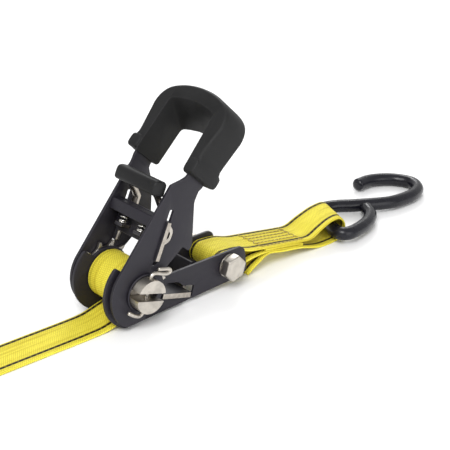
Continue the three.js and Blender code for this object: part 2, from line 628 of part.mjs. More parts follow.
// A cross plate between the handle plates, behind the drive pawl, whose upper flange seats the springs.
function driveGuide() {
  const reach = HANDLE_IN - CLEAR;
  const shape = outline([[-reach, 27], [reach, 27], [reach, 43, 1], [-reach, 43, 1]]);
  const plate = drive.plate(shape, GUIDE_LOW, GUIDE_LOW + GUIDE_THICK);
  // Seen from the side, the flange turns down over the springs.
  const top = GUIDE_FLANGE_A + GUIDE_THICK;
  const lip = LUG_TOP + CLEAR;
  const flange = drive.profile([
    [GUIDE_FLANGE_A, GUIDE_LOW], [top, GUIDE_LOW], [top, lip + GUIDE_THICK, 1.2],
    [top - GUIDE_LIP, lip + GUIDE_THICK, 0.4], [top - GUIDE_LIP, lip], [GUIDE_FLANGE_A, lip],
  ], -reach, reach);
  const notches = SIDES.map(([, side]) => drive.plate(outline([
    [side * LUG_Y - LUG_HALF - 0.6, 20], [side * LUG_Y + LUG_HALF + 0.6, 20],
    [side * LUG_Y + LUG_HALF + 0.6, LUG_A + DRIVE_LIFT + 2.4],
    [side * LUG_Y - LUG_HALF - 0.6, LUG_A + DRIVE_LIFT + 2.4],
  ]), GUIDE_LOW - 1, GUIDE_LOW + GUIDE_THICK + 1));
  return cut(join(plate, flange), ...notches);
}

function buildHandle() {
  for (const [name, side] of SIDES) {
    add(ratchet, `handle_plate_${name}`, handlePlate(side), BLACK_PAINT());
  }
  add(ratchet, 'handle_bar', handleBar(), BLACK_PAINT());
  add(ratchet, 'grip', grip(), RUBBER());
  add(ratchet, 'drive_guide', driveGuide(), BLACK_PAINT());
}

// ---------------------------------------------------------------- drive pawl

const NECK_Y = 10.5;
const NECK_HALF = 1.7;
const LEVER_A = 57.7;
const LEVER_B = 9.2;
const LEVER_RADIUS = 4.3;

function drivePawl() {
  const fork = BASE_LOBE + 1.6;
  const prong = GEAR_IN + 0.1;
  const plate = drive.plate(outline([
    [-EAR_OUT, DRIVE_START, 0.4], [-prong, DRIVE_START, 0.4], [-prong, fork, 0.6], [prong, fork, 0.6],
    [prong, DRIVE_START, 0.4], [EAR_OUT, DRIVE_START, 0.4], [EAR_OUT, DRIVE_END, 1], [-EAR_OUT, DRIVE_END, 1],
  ]), DRIVE_LOW, DRIVE_HIGH);
  const lugs = SIDES.map(([, side]) => drive.plate(outline([
    [side * LUG_Y - LUG_HALF, LUG_A], [side * LUG_Y + LUG_HALF, LUG_A],
    [side * LUG_Y + LUG_HALF, LUG_A + 1.6], [side * LUG_Y - LUG_HALF, LUG_A + 1.6],
  ]), DRIVE_HIGH - 1, LUG_TOP));
  const necks = SIDES.map(([, side]) => drive.profile([
    [DRIVE_END - 2, DRIVE_LOW], [DRIVE_END + 6, DRIVE_LOW], [LEVER_A - 3.6, LEVER_B - 5.4],
    [LEVER_A, LEVER_B - 2], [LEVER_A - 2, LEVER_B + 1], [LEVER_A - 6.6, LEVER_B - 5],
    [DRIVE_END + 4.6, DRIVE_HIGH], [DRIVE_END - 2, DRIVE_HIGH],
  ], side * NECK_Y - NECK_HALF, side * NECK_Y + NECK_HALF));
  return cut(join(plate, ...lugs, ...necks), leverSolid(CLEAR));
}

// A bar with one flat face and three rounded sides, so that a thumb finds it.
function leverSolid(grow) {
  const half = HANDLE_IN - 2 * CLEAR + grow;
  const low = -LEVER_RADIUS - grow;
  const high = LEVER_RADIUS + grow;
  return drive.profile([[low, low, 1.4], [high, low, 3.2], [high, high + 0.6, 3.6], [low, high + 0.6, 2.4]]
    .map(([a, b, round]) => [LEVER_A + a, LEVER_B + b, round]), -half, half);
}

// A flat clip that keeps the pawl's ear outside the handle plate.
function pawlClip(side) {
  const [low, high] = span(side, HANDLE_OUT + 0.35, HANDLE_OUT + 1.15);
  return drive.profile([
    [28.5, DRIVE_LOW - CLEAR, 0.2], [31, DRIVE_LOW - 3.4, 2], [37, DRIVE_LOW - 3.4, 2], [39.5, DRIVE_LOW - CLEAR, 0.2],
    [36.4, DRIVE_LOW - CLEAR, 0.2], [35.6, DRIVE_LOW - 1.7, 0.8], [32.4, DRIVE_LOW - 1.7, 0.8],
    [31.6, DRIVE_LOW - CLEAR, 0.2],
  ], low, high);
}

function buildDrivePawl() {
  add(ratchet, 'drive_pawl', drivePawl(), ZINC());
  add(ratchet, 'release_lever', leverSolid(0), RUBBER());
  for (const [name, side] of SIDES) {
    add(ratchet, `pawl_clip_${name}`, pawlClip(side), ZINC());
    const springAt = (a) => {
      const [x, z] = drive.point(a, GUIDE_LOW + GUIDE_THICK + CLEAR + 2.9);
      return new THREE.Vector3(x, side * LUG_Y, z);
    };
    add(ratchet, `drive_spring_${name}`, coilSpring(springAt(LUG_A + 1.6 + CLEAR),
      springAt(GUIDE_FLANGE_A - CLEAR), 2.4, 0.45, 5), ZINC());
  }
}

buildBase();
buildLockPawl();
buildSpindle();
buildHandle();
buildDrivePawl();

// ---------------------------------------------------------------- anchor strap and hooks, on the floor

// A point of the ratchet's frame in the floor's frame.
function onFloor(x, z) {
  const turn = rad(NOSE_LIFT);
  return [x * Math.cos(turn) - z * Math.sin(turn), x * Math.sin(turn) + z * Math.cos(turn)];
}

const [ANCHOR_X, ANCHOR_Z] = onFloor(BOLT_X, BOLT_Z);
const LOOP_RADIUS = SLEEVE_RADIUS + CLEAR + WEB_THICK / 2;
const WEB_LOW = FLOOR + WEB_THICK / 2 + WEB_REST;
const STACK = 4 * WEB_THICK;             // sewn layers
const STACK_START = ANCHOR_X + 30;
const STACK_END = ANCHOR_X + 72;
const STACK_START_Z = -8.2;
const STACK_END_Z = FLOOR + 6.6;
const HOOK_BAR_X = ANCHOR_X + 104;
const EYE_Z = FLOOR + HOOK_WIRE + HOOK_LIFT;       // the middle of the eye's bar
const EYE_TOP = EYE_Z + HOOK_WIRE;
const HOOK_ROOM = HOOK_WIRE * Math.hypot(1, HOOK_SKEW) + 3 * CLEAR + WEB_THICK;

function anchorStrap() {
  const half = WEB_WIDTH / 2;
  const arc = Array.from({ length: 13 }, (_, i) => {
    const [x, z] = polar(LOOP_RADIUS, 80 + i * 200 / 12);
    return [ANCHOR_X + x, ANCHOR_Z + z];
  });
  const top = STACK / 2 - WEB_THICK / 2;
  const bolt = [
    ...smooth([[STACK_START + 6, STACK_START_Z + top - 0.9], [STACK_START - 6, STACK_START_Z + top + 0.6],
      [ANCHOR_X + 12, ANCHOR_Z + LOOP_RADIUS - 1.4], arc[0]], 8).slice(0, -1),
    ...arc,
    ...smooth([arc[12], [ANCHOR_X + 12, ANCHOR_Z - LOOP_RADIUS + 0.9], [STACK_START - 6, STACK_START_Z - top],
      [STACK_START + 6, STACK_START_Z - top - 0.9]], 8).slice(1),
  ];
  const hookEnd = HOOK_BAR_X + HOOK_ROOM;
  const hook = smooth([
    [STACK_END - 4, STACK_END_Z + top + 0.6], [STACK_END + 3, STACK_END_Z + top + 0.1],
    [STACK_END + 13, EYE_TOP + 1.4], [STACK_END + 24, EYE_TOP + 4.6], [hookEnd - 5, EYE_TOP + 4.4],
    [hookEnd, EYE_TOP - 0.6], [hookEnd + 0.1, EYE_Z - 1.2], [hookEnd - 3.4, FLOOR + 1.9], [hookEnd - 9, WEB_LOW],
    [STACK_END + 14, WEB_LOW], [STACK_END + 4, STACK_END_Z - top - 0.6],
    [STACK_END - 4, STACK_END_Z - top + 0.5],
  ], 44);
  const flap = smooth([
    [STACK_START + 14, STACK_START_Z - top - 2], [STACK_START + 4, STACK_START_Z - top - 2.6],
    [STACK_START - 3, FLOOR + 5.4], [STACK_START - 9, WEB_LOW + 0.9],
  ], 8);
  const stack = [[STACK_START, STACK_START_Z], [STACK_END, STACK_END_Z]];
  const strip = (points, thickness) => slab(ribbonOutline(points, thickness), -half, half);
  return join(strip(stack, STACK), strip(bolt, WEB_THICK), strip(flap, WEB_THICK),
    skewed(strip(hook, WEB_THICK), STACK_END, hookEnd));
}

// The S-hook lies flat. Its small end closes round the webbing's bar and its big end is open.
const EYE = WEB_WIDTH / 2;                // the bar is as long as the webbing is wide
const HOOK_PATH = [
  [68.5, 34], [80, 34.5], [90.5, 31], [99, 24], [103.5, 13.5], [98, 4], [85.5, -1.4], [72, -2.2], [61.5, -0.9],
  [48.5, 4.5], [36.5, 10.5], [27, EYE + 3.5], [18, EYE + 6.4], [9.5, EYE + 5.1], [HOOK_SKEW * EYE, EYE], [0, 0],
  [-HOOK_SKEW * EYE, -EYE], [-4.5, -EYE - 4.1], [0, -EYE - 6.1], [8, -EYE - 5.5], [17, -EYE - 3.5], [26, -EYE],
  [34.5, -6.5], [40.2, 1.6],
];

function sHook(barX, direction) {
  const points = HOOK_PATH.map(([x, y]) => new THREE.Vector3(
    barX + direction * x, direction * y, FLOOR + HOOK_WIRE + HOOK_LIFT * (1 - x / HOOK_LENGTH)));
  return wire(points, HOOK_WIRE, 72, 8);
}

// Leans the end of a webbing loop so that it lies along the eye's bar.
function skewed(geometry, fromX, toX) {
  const position = geometry.attributes.position;
  for (let i = 0; i < position.count; i += 1) {
    const share = THREE.MathUtils.smoothstep((position.getX(i) - fromX) / (toX - fromX), 0, 1);
    position.setX(i, position.getX(i) + share * HOOK_SKEW * position.getY(i));
  }
  return geometry;
}

// ---------------------------------------------------------------- long strap

const TAIL_ANGLE = 19;                     // degrees, slope of the webbing as it leaves the winding
const TAIL_OFFSET = WINDING_RADIUS + CLEAR + WEB_THICK / 2;

function tail() {
  const [startX, startZ] = polar(TAIL_OFFSET, 270 + TAIL_ANGLE);
  const drop = startZ - WEB_LOW;
  const landing = startX - drop / Math.tan(rad(TAIL_ANGLE));
  const points = [
    ...smooth([[startX, startZ], [(startX + landing) / 2 - 1, (startZ + WEB_LOW) / 2 + 0.6],
      [landing - 5, WEB_LOW + 0.35], [landing - 14, WEB_LOW]], 14),
    [STORE_X + STORE_CORE, WEB_LOW],
  ];
  return slab(ribbonOutline(points, WEB_THICK), -WEB_WIDTH / 2, WEB_WIDTH / 2);
}

function storedRoll() {
  const z = WEB_LOW + WEB_THICK / 2 + CLEAR + STORE_RADIUS;
  const half = WEB_WIDTH / 2;
  return ring(STORE_CORE - 2, STORE_RADIUS, -half, half, STORE_X, z, 48);
}

const END_START = STORE_X + STORE_CORE - CLEAR;
const END_SEWN = STORE_X - STORE_RADIUS - 12;
const TAIL_BAR_X = END_SEWN - 44;

function tailEnd() {
  const half = WEB_WIDTH / 2;
  const far = TAIL_BAR_X - HOOK_ROOM;
  const lead = [[END_START, WEB_LOW], [END_SEWN - 4, WEB_LOW]];
  const stack = [[END_SEWN, WEB_LOW + WEB_THICK / 2], [END_SEWN - 16, WEB_LOW + WEB_THICK / 2]];
  const loop = smooth([
    [END_SEWN - 12, WEB_LOW + WEB_THICK], [END_SEWN - 24, EYE_Z + 1.2], [far + 14, EYE_TOP + 1.2],
    [far + 5, EYE_TOP + 1.8], [far + 0.3, EYE_TOP - 1.6], [far, EYE_Z - 1.2], [far + 3.4, FLOOR + 1.9],
    [far + 9, WEB_LOW], [END_SEWN - 12, WEB_LOW],
  ], 36);
  const strip = (points, thickness) => slab(ribbonOutline(points, thickness), -half, half);
  return join(strip(lead, WEB_THICK), strip(stack, 2 * WEB_THICK), skewed(strip(loop, WEB_THICK), END_SEWN - 16, far));
}

add(floorGroup, 'anchor_strap', anchorStrap(), YELLOW_WEB());
add(floorGroup, 'anchor_hook', sHook(HOOK_BAR_X, 1), VINYL());
add(floorGroup, 'strap_tail', tail(), YELLOW_WEB());
add(floorGroup, 'stored_roll', storedRoll(), YELLOW_WEB());
add(floorGroup, 'strap_end', tailEnd(), YELLOW_WEB());
add(floorGroup, 'tail_hook', sHook(TAIL_BAR_X, -1), VINYL());

// ---------------------------------------------------------------- origin

// The origin is under the middle of the ratchet and its anchor strap, on the floor.
const LONG_STRAP = ['strap_tail', 'stored_roll', 'strap_end', 'tail_hook'];
model.updateMatrixWorld(true);
const box = new THREE.Box3();
model.traverse((object) => {
  if (object.isMesh && !LONG_STRAP.includes(object.name)) box.expandByObject(object, true);
});
const middle = box.getCenter(new THREE.Vector3());
floorGroup.position.set(-middle.x, -middle.y, -FLOOR);

export default model;
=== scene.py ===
# %% [markdown]
# # A one-inch ratchet strap
# This lesson dresses a finished mechanical model of a ratchet tie-down: two base plates, a handle, a
# slotted spindle with its gears, pawls, springs, and yellow webbing with an S-hook at each end. The model
# comes first, because every piece made here takes its place from it. The pieces could also be modelled
# freely and fitted afterwards, but then nothing would swing or slide where the real joints are.

# %% Load the mechanical model
import json
import math

import bmesh
import bpy
from mathutils import Matrix, Vector

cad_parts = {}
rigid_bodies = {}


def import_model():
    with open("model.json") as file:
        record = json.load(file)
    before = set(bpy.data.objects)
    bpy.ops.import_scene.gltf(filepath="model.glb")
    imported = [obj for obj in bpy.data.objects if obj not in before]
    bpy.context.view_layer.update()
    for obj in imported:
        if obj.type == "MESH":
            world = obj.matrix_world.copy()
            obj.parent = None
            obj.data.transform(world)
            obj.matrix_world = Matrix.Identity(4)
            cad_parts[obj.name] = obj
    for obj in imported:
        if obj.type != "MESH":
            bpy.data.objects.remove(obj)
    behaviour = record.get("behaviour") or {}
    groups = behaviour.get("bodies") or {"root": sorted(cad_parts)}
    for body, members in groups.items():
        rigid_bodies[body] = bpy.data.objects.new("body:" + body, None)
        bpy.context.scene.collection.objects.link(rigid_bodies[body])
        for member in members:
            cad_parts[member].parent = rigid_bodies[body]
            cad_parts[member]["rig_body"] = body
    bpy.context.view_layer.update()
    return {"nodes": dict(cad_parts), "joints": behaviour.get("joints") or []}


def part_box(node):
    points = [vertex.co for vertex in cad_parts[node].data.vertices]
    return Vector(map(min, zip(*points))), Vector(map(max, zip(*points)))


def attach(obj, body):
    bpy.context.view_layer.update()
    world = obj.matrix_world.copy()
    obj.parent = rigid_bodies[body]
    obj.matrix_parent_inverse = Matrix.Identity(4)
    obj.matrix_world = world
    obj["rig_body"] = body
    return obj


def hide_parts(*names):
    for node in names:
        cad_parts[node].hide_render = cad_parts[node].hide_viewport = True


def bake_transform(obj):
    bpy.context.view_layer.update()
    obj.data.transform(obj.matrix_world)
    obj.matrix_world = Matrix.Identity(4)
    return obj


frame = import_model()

# %% [markdown]
# ## Where things are
# The joints give the places that everything else hangs on: the spindle's centre, the anchor bolt, and the
# bars of both hooks. They could be typed in again as numbers, but reading them from the joints keeps the
# pieces on their hinges. The ratchet leans back on the round end of its base, so its own X axis is turned up
# a little from the floor's.

# %% Places and directions
MM = 0.001
joints = {joint["name"]: joint for joint in frame["joints"]}
SPINDLE = Vector(joints["handle_swing"]["pos_m"])
BOLT = Vector(joints["anchor_strap_swing"]["pos_m"])
ANCHOR_BAR = Vector(joints["anchor_hook_swing"]["pos_m"])
TAIL_BAR = Vector(joints["tail_hook_swing"]["pos_m"])
NOSE_LIFT = math.radians(2.9)
DRIVE_WAY = Vector(joints["drive_pawl_slide"]["axis"]).normalized()
LOCK_WAY = Vector(joints["lock_pawl_slide"]["axis"]).normalized()
print("spindle at", tuple(round(v, 4) for v in SPINDLE))


def from_floor(x, y, z):
    """A point in millimetres from the spindle's centre, with a level X axis."""
    return SPINDLE + Vector((x, y, z)) * MM


def from_ratchet(x, y, z):
    """A point in millimetres from the spindle's centre, with X along the base plates."""
    return SPINDLE + Matrix.Rotation(-NOSE_LIFT, 3, "Y") @ Vector((x, y, z)) * MM


def middle(node):
    low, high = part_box(node)
    return (low + high) / 2


# %% [markdown]
# ## Camera
# The view looks down on the ratchet from beside the handle, about 44 degrees round from the front and 25
# degrees up. A wide lens close by would swell the nearest end, so a long lens stands further off, which
# keeps the plates nearly parallel. The camera comes before the pieces.

# %% Camera
CAMERA_FROM_SPINDLE = Vector((-0.3706, -0.4654, 0.3087))
AZIMUTH, ELEVATION, ROLL = math.radians(-44.0), math.radians(24.7), math.radians(2.33)
FOCAL_LENGTH, SENSOR_WIDTH = 95.7, 36    # both in millimetres


def look_frame(azimuth, elevation, roll):
    """The camera's rotation: it looks back along its own direction from the object, then rolls."""
    back = Vector((math.sin(azimuth) * math.cos(elevation),
                   -math.cos(azimuth) * math.cos(elevation), math.sin(elevation)))
    level = back.to_track_quat("Z", "Y").to_matrix()
    return level @ Matrix.Rotation(roll, 3, "Z")


camera_data = bpy.data.cameras.new("camera")
camera_data.lens = FOCAL_LENGTH
camera_data.sensor_width = SENSOR_WIDTH
camera = bpy.data.objects.new("camera", camera_data)
bpy.context.scene.collection.objects.link(camera)
camera.matrix_world = Matrix.LocRotScale(
    SPINDLE + CAMERA_FROM_SPINDLE, look_frame(AZIMUTH, ELEVATION, ROLL), None)
bpy.context.scene.camera = camera
print("camera at", tuple(round(v, 3) for v in camera.location))

# %% [markdown]
# ## Floor and light
# Black paint and zinc show mostly what they reflect. Small lamps would give them hard white dots, so three
# big area lights stand round the object instead, and the world itself is bright. The floor is one pale
# sheet, a hair below the object so that the two never share a plane.

# %% Floor, lights and world
def plain_material(name, color, roughness):
    material = bpy.data.materials.new(name)
    material.use_nodes = True
    shader = material.node_tree.nodes["Principled BSDF"]
    shader.inputs["Base Color"].default_value = (*color, 1)
    shader.inputs["Roughness"].default_value = roughness
    return material


def in_scene(name, data):
    """A new object that shows the given mesh, light or camera."""
    made = bpy.data.objects.new(name, data)
    bpy.context.scene.collection.objects.link(made)
    return made


def mesh_object(name, vertices, faces, smooth=False):
    mesh = bpy.data.meshes.new(name)
    mesh.from_pydata([tuple(v) for v in vertices], [], faces)
    mesh.update()
    if smooth:
        mesh.shade_smooth()
    return in_scene(name, mesh)


FLOOR_REACH = 8.0
FLOOR_DROP = 0.3 * MM
floor = mesh_object("floor", [(x * FLOOR_REACH, y * FLOOR_REACH, -FLOOR_DROP)
                              for x, y in ((-1, -1), (1, -1), (1, 1), (-1, 1))], [(0, 1, 2, 3)])
floor.data.materials.append(plain_material("pale floor", (0.93, 0.93, 0.93), 0.7))


def area_light(name, place, size, power):
    """A round soft light at a place from the spindle, in metres, that faces it."""
    data = bpy.data.lights.new(name, "AREA")
    data.shape = "DISK"
    data.size = size
    data.energy = power
    light = in_scene(name, data)
    light.location = SPINDLE + Vector(place)
    light.rotation_euler = (-Vector(place)).to_track_quat("-Z", "Y").to_euler()


WORLD_STRENGTH = 0.66
area_light("key light", (-0.9, -0.7, 1.3), 0.9, 21)
area_light("fill light", (0.2, -1.6, 0.5), 1.2, 6.5)
area_light("rim light", (1.1, 1.0, 1.1), 0.8, 11)
world = bpy.data.worlds.new("studio")
world.use_nodes = True
world.node_tree.nodes["Background"].inputs["Color"].default_value = (1, 1, 1, 1)
world.node_tree.nodes["Background"].inputs["Strength"].default_value = WORLD_STRENGTH
bpy.context.scene.world = world
bpy.context.scene.view_settings.view_transform = "Standard"
print("three area lights and a bright world")

# %% [markdown]
# ## Node groups that several finishes share
# Real finishes are never one flat colour. Four effects are needed here: worn edges, fine grain, slow cloudy
# variation, and a woven web. Each could be wired anew in every material, but as a node group it is built
# once, and a material only gives it values. A group puts out masks and heights, and the shader stays in the
# material.

# %% Node group helpers
def new_group(name, inputs, outputs):
    """A shader node group with float or vector sockets, and its input and output nodes."""
    group = bpy.data.node_groups.new(name, "ShaderNodeTree")
    for socket, default in inputs.items():
        made = group.interface.new_socket(
            socket, in_out="INPUT",
            socket_type="NodeSocketVector" if default is None else "NodeSocketFloat")
        if default is not None:
            made.default_value = default
    for socket in outputs:
        group.interface.new_socket(socket, in_out="OUTPUT", socket_type="NodeSocketFloat")
    return group, group.nodes.new("NodeGroupInput"), group.nodes.new("NodeGroupOutput")


class Wiring:
    """Short ways to add and link nodes in one tree."""

    def __init__(self, tree):
        self.tree = tree

    def node(self, kind, settings=None, **sockets):
        made = self.tree.nodes.new(kind)
        for key, value in (settings or {}).items():
            setattr(made, key, value)
        for key, value in sockets.items():
            self.feed(made.inputs[key.replace("_", " ")], value)
        return made

    def feed(self, socket, value):
        if isinstance(value, bpy.types.NodeSocket):
            self.tree.links.new(value, socket)
        else:
            socket.default_value = value

    def math(self, operation, *values, clamp=False):
        made = self.node("ShaderNodeMath", {"operation": operation, "use_clamp": clamp})
        for socket, value in zip(made.inputs, values):
            self.feed(socket, value)
        return made.outputs[0]

    def ramp(self, value, low, high, to_low=0.0, to_high=1.0):
        made = self.node("ShaderNodeMapRange", {"interpolation_type": "SMOOTHSTEP"},
                         Value=value, From_Min=low, From_Max=high, To_Min=to_low, To_Max=to_high)
        return made.outputs["Result"]

    def mix(self, share, first, second):
        made = self.node("ShaderNodeMix", {"data_type": "RGBA"})
        self.feed(made.inputs["Factor"], share)
        for socket, value in ((made.inputs[6], first), (made.inputs[7], second)):
            self.feed(socket, (*value, 1) if isinstance(value, tuple) and len(value) == 3 else value)
        return made.outputs[2]


# %% [markdown]
# Paint and plating wear first along edges. The worn places could be painted by hand on each piece, but a
# mask that finds the edges itself fits every piece: the Bevel node's rounded normal leaves the true normal
# only near an edge, so the angle between the two is that mask. Noise breaks it up, because paint rubs off
# in patches.

# %% Worn edges
FLAT_DOT, EDGE_DOT = 0.995, 0.80    # dot product of the two normals: no wear above, full wear below
WEAR_PATCHES = 420.0                # patches of wear per metre


def build_edge_wear():
    group, source, result = new_group("Worn edges", {"Width": 0.0005, "Patchiness": 0.5}, ["Mask"])
    wiring = Wiring(group)
    rounded = wiring.node("ShaderNodeBevel", {"samples": 4}, Radius=source.outputs["Width"])
    true_normal = wiring.node("ShaderNodeNewGeometry").outputs["Normal"]
    dot = wiring.node("ShaderNodeVectorMath", {"operation": "DOT_PRODUCT"})
    wiring.feed(dot.inputs[0], rounded.outputs["Normal"])
    wiring.feed(dot.inputs[1], true_normal)
    edge = wiring.ramp(dot.outputs["Value"], FLAT_DOT, EDGE_DOT)
    coordinates = wiring.node("ShaderNodeTexCoord").outputs["Object"]
    noise = wiring.node("ShaderNodeTexNoise", Vector=coordinates, Scale=WEAR_PATCHES, Detail=4.0,
                        Roughness=0.7)
    patches = wiring.ramp(noise.outputs["Fac"], 0.38, 0.62)
    kept = wiring.math("SUBTRACT", 1.0, wiring.math("MULTIPLY", patches, source.outputs["Patchiness"]))
    wiring.feed(result.inputs["Mask"], wiring.math("MULTIPLY", edge, kept, clamp=True))
    return group


EDGE_WEAR = build_edge_wear()
print("built", EDGE_WEAR.name)

# %% [markdown]
# Grain is a fine, even pebble, such as the orange peel of powder coat or the spark finish of a rubber
# mould. It is far too small for real vertices, so it is a height for a Bump node. Clouds vary slowly, and
# stand for handling marks and uneven gloss, which smooth noise gives more softly than any hard pattern.

# %% Grain and clouds
def build_grain():
    group, source, result = new_group("Fine grain", {"Scale": 2500.0}, ["Height"])
    wiring = Wiring(group)
    coordinates = wiring.node("ShaderNodeTexCoord").outputs["Object"]
    fine = wiring.node("ShaderNodeTexNoise", Vector=coordinates, Scale=source.outputs["Scale"], Detail=3.0)
    cells = wiring.node("ShaderNodeTexVoronoi", Vector=coordinates, Scale=source.outputs["Scale"])
    wiring.feed(result.inputs["Height"], wiring.math(
        "ADD", fine.outputs["Fac"], wiring.math("MULTIPLY", cells.outputs["Distance"], 0.5)))
    return group


def build_clouds():
    group, source, result = new_group("Slow clouds", {"Scale": 40.0}, ["Amount"])
    wiring = Wiring(group)
    coordinates = wiring.node("ShaderNodeTexCoord").outputs["Object"]
    noise = wiring.node("ShaderNodeTexNoise", Vector=coordinates, Scale=source.outputs["Scale"],
                        Detail=6.0, Roughness=0.62, Distortion=0.4)
    wiring.feed(result.inputs["Amount"], wiring.ramp(noise.outputs["Fac"], 0.3, 0.7))
    return group


GRAIN = build_grain()
CLOUDS = build_clouds()
print("built", GRAIN.name, "and", CLOUDS.name)

# %% [markdown]
# Webbing shows lengthwise yarns in rows, crossed by ribs a little more than a millimetre apart, and every
# second row is shifted by half a rib. Two dark tracer lines run near the edges. A pattern laid over the
# scene's own axes would slide off at the first bend, so the weave works in the webbing's coordinates, which
# each strip carries as an attribute named "web": metres along it, metres from its middle line, and how far
# its tracer lines have faded from rubbing.

# %% Weave
WEB_WIDTH = 25 * MM
TRACERS = (-8.4 * MM, 10.4 * MM)
TRACER_HALF = 0.90 * MM
RIB_PITCH = 1.25 * MM
YARN_PITCH = 1.0 * MM
TWIST_PITCH = 3.1 * RIB_PITCH       # how far apart the tracer yarns dip under a rib
# The streaks are partly each yarn's own colour and partly painted satin highlights and shadows.
YARN_AND_SHEEN_STREAKS = (22, 520, 0)              # yarn colour streaks per metre: long ones, as wide as a yarn


def build_weave():
    group, source, result = new_group("Woven web", {"Web": None}, ["Height", "Gap shade", "Tracer", "Yarn and sheen"])
    wiring = Wiring(group)
    parts = wiring.node("ShaderNodeSeparateXYZ", Vector=source.outputs["Web"])
    along, across = parts.outputs["X"], parts.outputs["Y"]
    yarn = wiring.math("DIVIDE", across, YARN_PITCH)
    row = wiring.math("FLOOR", yarn)
    shift = wiring.math("MULTIPLY", wiring.math("PINGPONG", row, 1.0), 0.5)
    rib = wiring.math("ADD", wiring.math("DIVIDE", along, RIB_PITCH), shift)
    round_yarn = wiring.math("ABSOLUTE", wiring.math("SINE", wiring.math("MULTIPLY", yarn, math.pi)))
    round_rib = wiring.math("ABSOLUTE", wiring.math("SINE", wiring.math("MULTIPLY", rib, math.pi)))
    height = wiring.math("MULTIPLY", wiring.math("POWER", round_yarn, 0.5),
                         wiring.math("POWER", round_rib, 0.5))
    wiring.feed(result.inputs["Height"], height)
    # The gap mask is painted shade: it marks the hollows between the ribs for darkening.
    wiring.feed(result.inputs["Gap shade"], wiring.ramp(height, 0.62, 0.25))
    offset = wiring.math("MINIMUM", *[wiring.math("ABSOLUTE", wiring.math("SUBTRACT", across, place))
                                      for place in TRACERS])
    line = wiring.ramp(offset, TRACER_HALF * 1.25, TRACER_HALF * 0.8)
    twist = wiring.math("SINE", wiring.math("MULTIPLY", along, 2 * math.pi / TWIST_PITCH))
    strength = wiring.math("MULTIPLY", line, wiring.ramp(twist, -1.05, -0.3, 0.86))
    wiring.feed(result.inputs["Tracer"], wiring.math(
        "MULTIPLY", strength, wiring.math("SUBTRACT", 1.0, parts.outputs["Z"])))
    # The yarn output mixes each row's own tone with long streaks that stand for painted satin highlights and
    # shadows.
    speck = wiring.node("ShaderNodeTexWhiteNoise", {"noise_dimensions": "1D"}, W=row)
    stretched = wiring.node("ShaderNodeMapping", Vector=source.outputs["Web"], Scale=YARN_AND_SHEEN_STREAKS)
    yarn_and_sheen_streak = wiring.node("ShaderNodeTexNoise", Vector=stretched.outputs["Vector"], Scale=1.0, Detail=3.0)
    uneven = wiring.math("MULTIPLY", speck.outputs["Value"], wiring.ramp(yarn_and_sheen_streak.outputs["Fac"], 0.35, 0.65))
    wiring.feed(result.inputs["Yarn and sheen"], uneven)
    return group


WEAVE = build_weave()
print("built", WEAVE.name)

# %% [markdown]
# ## Finishes
# Each finish is one material with its own Principled shader. `finish` makes the shader, sets what is the
# same all over, and hands back a wiring that the finish's own function completes. One big material with
# switches could do it all too, but separate short ones are easier to read and to adjust.

# %% Finish helper
def finish(name, roughness, metallic=0.0, **constants):
    material = bpy.data.materials.new(name)
    material.use_nodes = True
    wiring = Wiring(material.node_tree)
    shader = material.node_tree.nodes["Principled BSDF"]
    shader.inputs["Roughness"].default_value = roughness
    shader.inputs["Metallic"].default_value = metallic
    for key, value in constants.items():
        shader.inputs[key.replace("_", " ")].default_value = value
    return material, wiring, shader


def use(wiring, group, **sockets):
    return wiring.node("ShaderNodeGroup", {"node_tree": group}, **sockets)


def bump(wiring, shader, height, distance, strength=1.0):
    made = wiring.node("ShaderNodeBump", Height=height, Distance=distance, Strength=strength)
    wiring.feed(shader.inputs["Normal"], made.outputs["Normal"])


# %% [markdown]
# The plates are black powder coat over steel: a satin skin with a hint of blue, faint orange peel, and
# edges rubbed paler. Pure black would hide their shape, so the colour stays a little above it, and clouds
# vary both colour and gloss.

# %% Black powder coat
COAT_BLACK = (0.0175, 0.0158, 0.0225)
RUBBED_COAT = (0.12, 0.12, 0.14)


def shade(color, factor):
    """The same colour made darker or lighter, as far as white."""
    return tuple(min(1.0, channel * factor) for channel in color)


def powder_coat():
    material, wiring, shader = finish("black powder coat", 0.42, Specular_IOR_Level=0.34)
    clouds = use(wiring, CLOUDS, Scale=60.0).outputs["Amount"]
    edge = use(wiring, EDGE_WEAR, Width=0.5 * MM, Patchiness=0.6).outputs["Mask"]
    base = wiring.mix(clouds, shade(COAT_BLACK, 0.8), COAT_BLACK)
    wiring.feed(shader.inputs["Base Color"],
                wiring.mix(wiring.math("MULTIPLY", edge, 0.55), base, RUBBED_COAT))
    wiring.feed(shader.inputs["Roughness"], wiring.ramp(clouds, 0.0, 1.0, 0.42, 0.56))
    bump(wiring, shader, use(wiring, GRAIN, Scale=1800.0).outputs["Height"], 0.03 * MM, 0.5)
    return material


BLACK_COAT = powder_coat()
print("made", BLACK_COAT.name)

# %% [markdown]
# Zinc plating is bright and slightly warm. Fine scratches run one way, from rolling and cutting, and slow
# clouds dull it here and there. A smooth mirror would look like chrome, so stretched noise stands for the
# scratches in both the roughness and the bump. Spring wire is the same plate, drawn brighter.

# %% Zinc plate
SCRATCH_STRETCH = (1, 1, 14)


